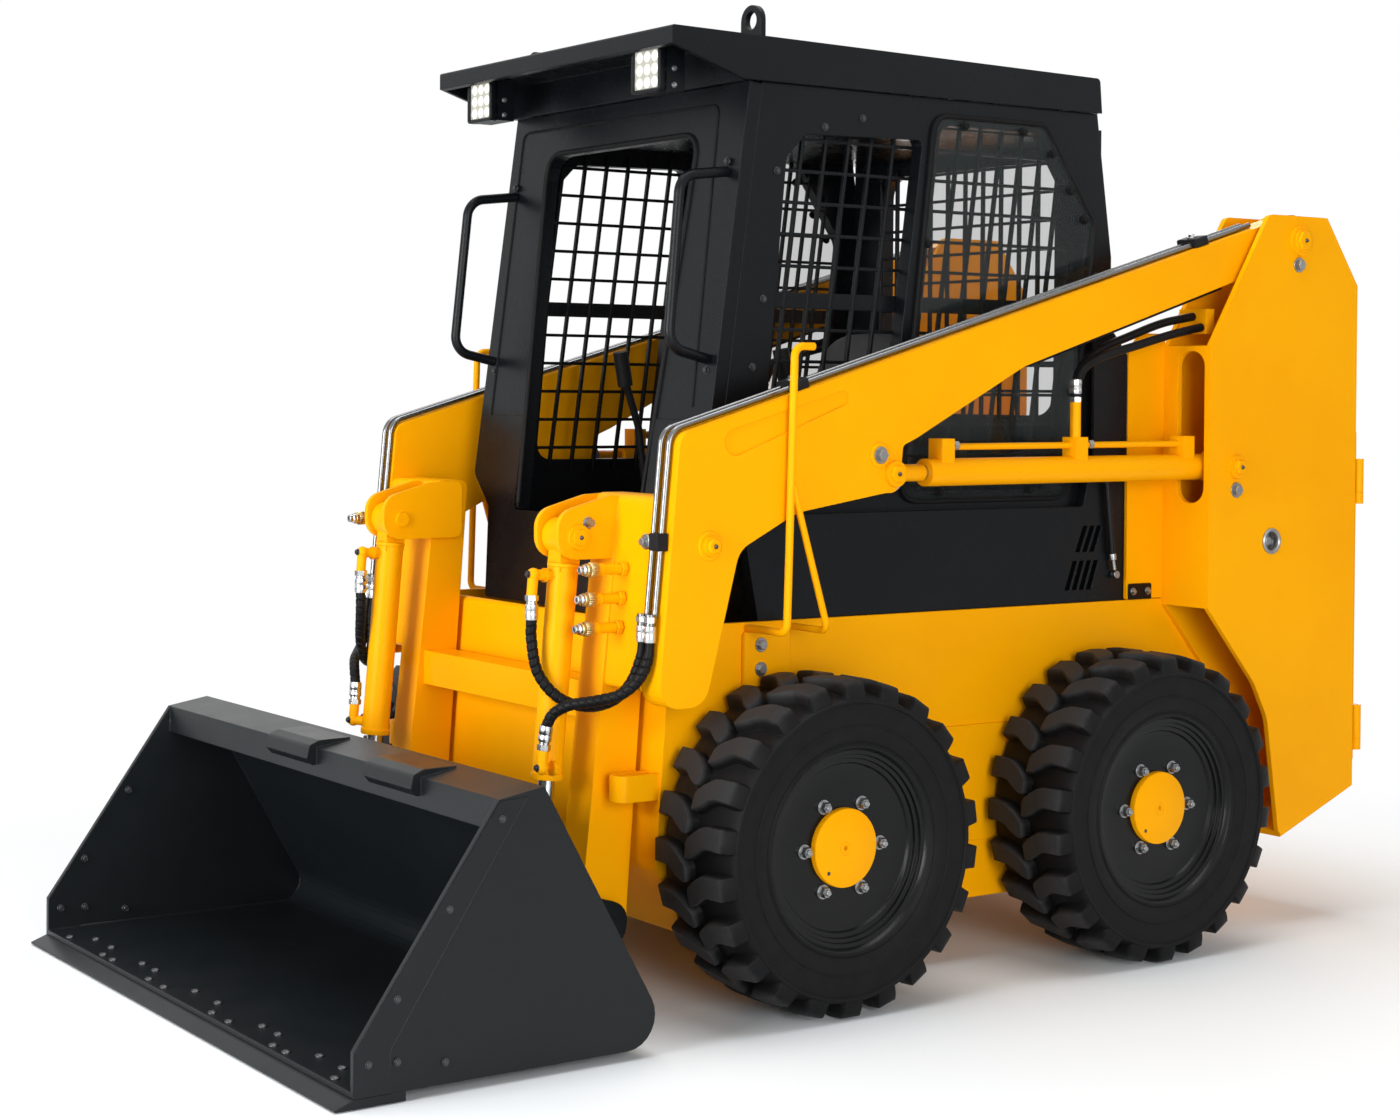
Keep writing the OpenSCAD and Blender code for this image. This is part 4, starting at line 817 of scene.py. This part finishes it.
port_ends, port_caps, tilt_collars = Shape(), Shape(), Shape()
hose_end(port_ends, (1094.0, 401.0, 934.0), -Z, TILT_HOSE_R)
hose_end(port_ends, (1086.0, 443.0, 605.0), (-3.0, 3.0, 37.0), TILT_HOSE_R)
both_sides("tilt_hose_ends", steel, "tilt_barrel_{}", "bright_steel", port_ends)
upper_port = TILT_TOP + 90 * TILT_DOWN + 78 * TILT_OUT
lower_port = TILT_TOP + 42 * Y + 515 * TILT_DOWN + 42 * TILT_OUT
bolts(port_caps, [port + 12.5 * TILT_OUT for port in (upper_port, lower_port)], TILT_OUT, 6.5, 4.0, 8.5)
both_sides("tilt_port_caps", dark_steel, "tilt_barrel_{}", "cast", port_caps)
for port in (upper_port, lower_port):
    tilt_collars.add(turned([(15, -34), (16, -33), (16, -26), (15, -25)], port, TILT_OUT, 28))
barrel_rings = {60: [(34.3, 0), (36.5, 1.5), (36.5, 8), (34.3, 10)],
                545: [(34.3, -16), (37, -14), (37, -3), (35, 0)]}
for down, profile in barrel_rings.items():
    tilt_collars.add(turned(profile, TILT_TOP + down * TILT_DOWN, TILT_DOWN, 48))
both_sides("tilt_barrel_collars", yellow, "tilt_barrel_{}", "yellow_paint", tilt_collars)

lift_ends, lift_nuts = Shape(), Shape()
for x, y in ((-355.0, 623.0), (-335.0, 649.0)):
    hose_end(lift_ends, (x, y, 1384.0), Z, LIFT_HOSE_R)
for x in (52.0, -340.0, -396.0, -728.0):
    lift_nuts.add(turned([(9, -8), (11.5, -7), (11.5, 7), (9, 8)], (x, LIFT_Y, PIPE_Z), X, 6))
both_sides("lift_hose_ends", steel, "lift_barrel_{}", "bright_steel", lift_ends)
both_sides("feed_pipe_nuts", zinc, "lift_barrel_{}", "bright_steel", lift_nuts)

# Couplers on the legs, three on the left and one on the right

COUPLER_NUT = [(15, 1.3), (17, 3), (17, 15), (14, 17)]
COUPLER_PIPE = [(12, 16), (12, 62), (14.5, 63), (14.5, 71), (12, 72), (11.5, 92)]
COUPLER_COLLAR = [(13, 100), (14.5, 101), (14.5, 107), (12, 108)]
COUPLER_TIP = [(11, 107), (12.5, 108), (12.5, 114), (9.5, 116), (9.5, 124), (8, 125.5), (5, 125.5), (5, 118)]
pipes, grips, tips = Shape(), Shape(), Shape()
coupler_spots = [(leg_front(z), 505.0, z) for z in (1000.0, 935.0, 870.0)]
coupler_spots.append((leg_front(1063.0) + 20, -548.0, 1063.0))
for spot in coupler_spots:
    pipes.add(turned(COUPLER_NUT, spot, X, 6))
    pipes.add(turned(COUPLER_PIPE, spot, X, 24))
    grips.add(knurled(spot, X, 16.0, 78.0, 100.0))
    grips.add(turned(COUPLER_COLLAR, spot, X, 24))
    tips.add(turned(COUPLER_TIP, spot, X, 24))
pipes.make("coupler_pipes", yellow, "lift_arm", "yellow_paint", "aux_couplers")
grips.make("coupler_grips", brass, "lift_arm", "coupler_metal", "aux_couplers")
tips.make("coupler_tips", steel, "lift_arm", "bright_steel", "aux_couplers")

# Clamps of the arm tubes

CLAMP_Z = 1067.0
clamps, clamp_bolts = Shape(), Shape()
leg = leg_front(CLAMP_Z)
leg_clamp = rounded([(leg + 1, 1048, 2), (leg + 31, 1048, 4), (leg + 31, 1087, 4), (leg + 1, 1087, 2)])
clamps.add(slab(leg_clamp, 627, 660, 2.0))
for x in (537.0, -769.0):
    clamp_block(clamps, x, 44.0, 24.0)
    bolts(clamp_bolts, [(x + 23 * ARM_UP[0], TUBES_MID_Y, arm_top(x) + 23)], ARM_UP, 8.0, 6.0, 12.0)
both_sides("tube_clamps", lever_plastic, "lift_arm", "lever_plastic", clamps)
clamp_bolts.add(turned([(16, 0), (17.5, 1.5), (17.5, 13), (15, 15)], (leg + 16, 612, CLAMP_Z), X, 28))
bolts(clamp_bolts, [(leg + 31, 612, CLAMP_Z)], X, 9.0, 8.0, 12.0)
both_sides("clamp_bolts", zinc, "lift_arm", "bright_steel", clamp_bolts)

# Bolts, bosses and grease points of the arm

arm_bolts, arm_bosses, dots = Shape(), Shape(), Shape()
bolts(arm_bolts, on_face([(320, 1253)], ARM_FACE + 6), Y, *BIG_HEAD)
bolts(arm_bolts, on_face([(979, 1101)], 452), Y, 10.0, 16.0, 14.0)
both_sides("arm_bolts", zinc, "lift_arm", "bright_steel", arm_bolts)
arm_bosses.add(turned([(29, -1), (29, 4), (26, 6.5), (20, 6.5)], (320, ARM_FACE, 1253), Y, 36))
for spot, rise, radius, sides in ((ROD_EYE, 12, 22.0, 6), (NOSE_PIN, 16, 17.0, 32)):
    boss = [(radius, -3), (radius, 5), (radius - 2.5, 8), (6, 8)]
    arm_bosses.add(turned(boss, at(spot, ARM_FACE + rise), Y, sides))
arm_bosses.add(turned([(33, -3), (33, 3), (30, 6), (21, 6)], at(NOSE_PIN, ARM_FACE), Y, 36))
both_sides("arm_bosses", yellow, "lift_arm", "yellow_paint", arm_bosses)
for spot, y in ((ROD_EYE, ARM_FACE + 20), (NOSE_PIN, ARM_FACE + 24), ((1005, 1069), 466)):
    dots.add(turned([(5, -1), (5, 2), (3, 5), (1.5, 6)], at(spot, y), Y, 16))
both_sides("grease_points", dark_steel, "lift_arm", "cast", dots)

# Bolts and plates on the chassis and the towers

TOWER_SOCKET, PLATE_RING = (-993, 1019), (-233, 552)
chassis_bolts, chassis_plates, chassis_dots = Shape(), Shape(), Shape()
bolts(chassis_bolts, on_face([(-1089, 1740), (-857, 1154)], TOWER_FACE), Y, *BIG_HEAD)
bolts(chassis_bolts, on_face([(565, 816), (565, 760)], TUB_FACE + 9), Y, 12.0, 8.0, 17.0)
bolts(chassis_bolts, on_face([(-647, 890), (-700, 890)], PANEL_FACE + 14), Y, *SMALL_HEAD)
socket_rim = [(24, -20), (24, 3), (27, 6), (31, 6), (34, 3), (34, -0.5), (23.5, -1), (23.5, -20)]
chassis_bolts.add(turned(socket_rim, at(TOWER_SOCKET, TOWER_FACE), Y, 40, ring=True))
socket_core = [(22, -24), (22, -19), (13, -18), (13, -9), (10, -7)]
chassis_bolts.add(turned(socket_core, at(TOWER_SOCKET, TOWER_FACE), Y, 28))
both_sides("chassis_bolts", zinc, "chassis", "bright_steel", chassis_bolts)
rod_plate = rounded([(477, 720, 8), (615, 720, 8), (615, 848, 14), (477, 848, 8)])
chassis_plates.add(slab(rod_plate, TUB_FACE, TUB_FACE + 9, 2.0))
side_plate = rounded([(-470, 300, 8), (440, 300, 8), (440, 586, 8), (-470, 586, 8)])
chassis_plates.add(slab(side_plate, TUB_FACE, TUB_FACE + 4, 1.5))
ring_section = [(12, 3), (12, 9), (14, 11), (25, 11), (27, 9), (27, 3)]
chassis_plates.add(turned(ring_section, at(PLATE_RING, TUB_FACE), Y, 36, ring=True))
for spot, radius in (((-1092, 1803), 26.0), ((-856, 1213), 20.0)):
    pin_head = [(radius, 8), (radius, 19), (radius - 3, 22), (6, 22)]
    chassis_plates.add(turned(pin_head, at(spot, TOWER_FACE), Y, 6))
    chassis_dots.add(turned([(5, 21), (5, 24), (3, 27)], at(spot, TOWER_FACE), Y, 16))
both_sides("chassis_plates", yellow, "chassis", "yellow_paint", chassis_plates)
both_sides("chassis_grease_points", dark_steel, "chassis", "cast", chassis_dots)

# Upright plates between tower and cab, and the lining under the cab's roof

wing = rounded([(-762, 869, 2), (-626, 869, 6), (-626, 1500, 30), (-668, 1556, 30), (-762, 1556, 2)])
wings = Shape().add(slab(wing, PANEL_FACE + 1, PANEL_FACE + 9, 1.0))
both_sides("tower_wings", yellow, "chassis", "yellow_paint", wings)
filler = rounded([(-505, 1202, 6), (-625, 1202, 6), (-625, 1500, 12), (-575, 1556, 12), (-505, 1556, 6)])
fillers = Shape().add(slab(filler, PANEL_FACE + 1, PANEL_FACE + 8, 1.0))
both_sides("rear_fillers", cab_black, "chassis", "cab_black", fillers)
lining_edge = rounded([(400, 2050, 8), (-561, 2050, 8), (-561, 2113, 4), (400, 2113, 4)])
lining = Shape().add(slab(lining_edge, -LINING_Y, LINING_Y, 1.0))
lining.make("roof_lining", cab_black, "chassis", "cab_black")

# Tube under the arm, neck of the lift rod

under_x = np.array([-190.0, -240.0, -420.0, -640.0, -860.0])
under_rise = (UNDER_BACK[1] - UNDER_FRONT[1]) / (UNDER_FRONT[0] - UNDER_BACK[0])
under_z = UNDER_FRONT[1] + (UNDER_FRONT[0] - under_x) * under_rise - 8.0
under_path = np.stack([under_x, np.full(len(under_x), LIFT_Y), under_z], -1)
under_tubes = Shape().add(swept(under_path, circle(8.0, 14), Y))
both_sides("under_arm_tubes", hose_rubber, "lift_arm", "hose_rubber", under_tubes)
neck = [(20.5, 38), (20.5, 114), (19.5, 116)]
rod_necks = Shape().add(turned(neck, at(ROD_EYE, LIFT_Y), (-1.0, 0.0, 0.0035), 28))
both_sides("rod_necks", yellow, "lift_rod_{}", "yellow_paint", rod_necks)

# Bracket, gas strut and bolts on the cab's side

STRUT_Y = 546
side_trim, side_bolts, strut_ends = Shape(), Shape(), Shape()
bracket = rounded([(-716, 869, 4), (-632, 869, 4), (-632, 910, 6), (-716, 910, 6)])
side_trim.add(slab(bracket, PANEL_FACE + 9, PANEL_FACE + 14, 1.5))
strut = smooth_path(on_face([(-549, 1192), (-561, 1090), (-573, 986)], STRUT_Y), 30.0)
side_trim.add(swept(strut, circle(8.0, 16), Y))
both_sides("side_trim", cab_black, "chassis", "cab_black", side_trim)
strut_cap = [(9, -2), (9.5, 0), (9.5, 14), (5, 16), (5, 40)]
strut_ends.add(turned(strut_cap, (-573, STRUT_Y, 988), (-0.2, 0, -1), 20))
strut_ends.add(turned([(9, -9), (10, -8), (10, 6), (9, 7)], (-584, STRUT_Y, 936), Y, 20))
both_sides("strut_ends", zinc, "chassis", "bright_steel", strut_ends)
side_spots = [(352, 2022), (494, 1911), (532, 1612), (562, 1454), (237, 2050), (585, 1240), (-545, 1700)]
bolts(side_bolts, on_face(side_spots, CAB_FACE), Y, 6.5, 4.5, 9.5)
both_sides("cab_side_bolts", dark_steel, "chassis", "cast", side_bolts)

# Gasket and knobs round each pane

pane_trim = Shape()
pane_corners = [(120, 1131, 60), (14, 2077, 55), (-362, 2077, 45), (-538, 1832, 45), (-450, 1131, 60)]
pane_edge = rounded(pane_corners, 10)
gasket_section = [(-3, 0), (-3, 7), (-1, 10), (5, 11), (9, 9), (10, 7.5), (10, 0)]
pane_trim.add(framed(pane_edge, gasket_section, (0, CAB_FACE + 0.5, 0), X, Z, Y))
pane_spots = [(-83, 2053), (-278, 2051), (-378, 2002), (-443, 1912), (-493, 1842), (-12, 1156), (-312, 1156),
              (72, 1400), (36, 1760), (-455, 1400)]
for spot in pane_spots:
    pane_trim.add(turned([(12, 0), (12, 2), (9, 3), (9, 9), (7, 11)], at(spot, CAB_FACE + 8), Y, 16))
both_sides("pane_gasket", gasket, "chassis", "cab_black", pane_trim)

# Seals round the doorway and the panel below it

SEAL_STEPS, JAMB_STEPS = 8, 12
door_trim = Shape()
seal = rounded([(-455, -120, 10), (-463, 716, 26), (396, 710, 26), (430, -14, 10)], SEAL_STEPS)
# The seal is open below: it starts where the first corner ends and stops where the last begins
door_trim.add(swept(on_frame(seal[SEAL_STEPS - 1:1 - SEAL_STEPS]), circle(3.5, 10), FRAME_OUT))
jamb = rounded([(-271, -262, 0.1), (-331, 648, 60), (331, 648, 60), (271, -262, 0.1)], JAMB_STEPS)
jamb = np.vstack([(-271, -258), jamb[JAMB_STEPS:-JAMB_STEPS], (271, -258)])
door_trim.add(swept(on_frame(jamb), circle(7.0, 12), FRAME_OUT))
door_trim.make("door_seal", gasket, "chassis", "cab_black")
knee_half = [(500, -34, 4), (500, -190, 30), (410, -272, 20), (372, -505, 8)]
knee_notch = [(291, -34, 4), (284, -276, 16)]
knee_corners = [(-a, b, r) for a, b, r in knee_half] + knee_half[::-1]
knee_corners += knee_notch + [(-a, b, r) for a, b, r in knee_notch[::-1]]
knee_flat = on_frame(rounded(knee_corners))
knee_panel = Shape().add(loft(np.stack([knee_flat + out * FRAME_OUT for out in (-7.0, 1.5, 3.0)])))
knee_panel.make("knee_panel", cab_black, "chassis", "cab_black")
handle_bolts = bolts(Shape(), [(605, 462, 1930), (663, 466, 1446)], FRAME_OUT, *SMALL_HEAD)
both_sides("handle_bolts", dark_steel, "chassis", "cast", handle_bolts)

# Bezels and screws of the work lamps

LENS_X, SCREW_X, SCREW_OUT, SCREW_DROP = 771.0, 735, 56, 38
bezel = rounded([(-58, -54, 10), (58, -54, 10), (58, 54, 10), (-58, 54, 10)], 6)
bezel_section = [(0, -14), (0, 4), (1.5, 6), (7, 6), (9.5, 3), (9.5, -0.5), (2, -3)]
bezels = Shape().add(framed(bezel, bezel_section, (LENS_X, LAMP_Y, LAMP_Z), Y, Z, X))
both_sides("lamp_bezels", cab_black, "chassis", "cab_black", bezels)
lamp_screws = Shape()
for way in (1, -1):
    screw_y = LAMP_Y + way * SCREW_OUT
    screw_spots = [(SCREW_X, screw_y, z) for z in (LAMP_Z, LAMP_Z - SCREW_DROP)]
    bolts(lamp_screws, screw_spots, way * Y, *SCREW_HEAD)
both_sides("lamp_screws", zinc, "chassis", "bright_steel", lamp_screws)

# Bolts, strips and welds of the bucket

EDGE_Z, WELD_X = 34.0, 1085
bucket_bolts, bucket_strips, bucket_welds, edge_bolts = Shape(), Shape(), Shape(), Shape()
plate_spots = [(1424, 536), (1545, 368), (1662, 205), (1725, 86), (1661, 82), (1552, 66)]
bolts(bucket_bolts, on_face(plate_spots, BUCKET_FACE + 1), Y, 6.0, 2.0, 8.5)
bolts(bucket_bolts, on_face(plate_spots, BUCKET_INNER), -Y, 7.0, 6.0, 9.5)
both_sides("bucket_plate_bolts", dark_steel, "bucket", "cast", bucket_bolts)
strip = [(1429, 572), (1757, 113), (1757, 23), (1676, 23), (1676, 106), (1362, 576)]
bucket_strips.add(slab(strip, BUCKET_FACE, BUCKET_FACE + 2.0, 0.6))
both_sides("bucket_side_strips", bucket_paint, "bucket", "bucket_grey", bucket_strips)
inner_corner = rounded([(1288, 509, 0.1), (1012.8, EDGE_Z, 57), (1680, EDGE_Z, 0.1)], 12)[11:25]
bucket_welds.add(swept(on_face(inner_corner, BUCKET_INNER), circle(5.0, 10), Y))
bucket_welds.add(swept([(WELD_X, y, EDGE_Z) for y in (0, 400, 803)], circle(2.6, 8), X))
both_sides("bucket_welds", bucket_paint, "bucket", "bucket_grey", bucket_welds)
edge_rows = {1692: np.array([60, 285, 360, 550, 650.0]), 1738: np.array([130, 215, 430, 490, 705.0])}
edge_spots = [(x, y, EDGE_Z) for x, row in edge_rows.items() for y in np.concatenate([-row, row])]
edge_head = turned([(11, -1), (10.5, 2.0), (7.5, 4.5), (3.5, 5.6)], (0, 0, 0), Z, 14)
edge_bolts.add(edge_head, np.tile(np.eye(3), (len(edge_spots), 1, 1)), edge_spots)
edge_bolts.make("cutting_edge_bolts", dark_steel, "bucket", "cast")
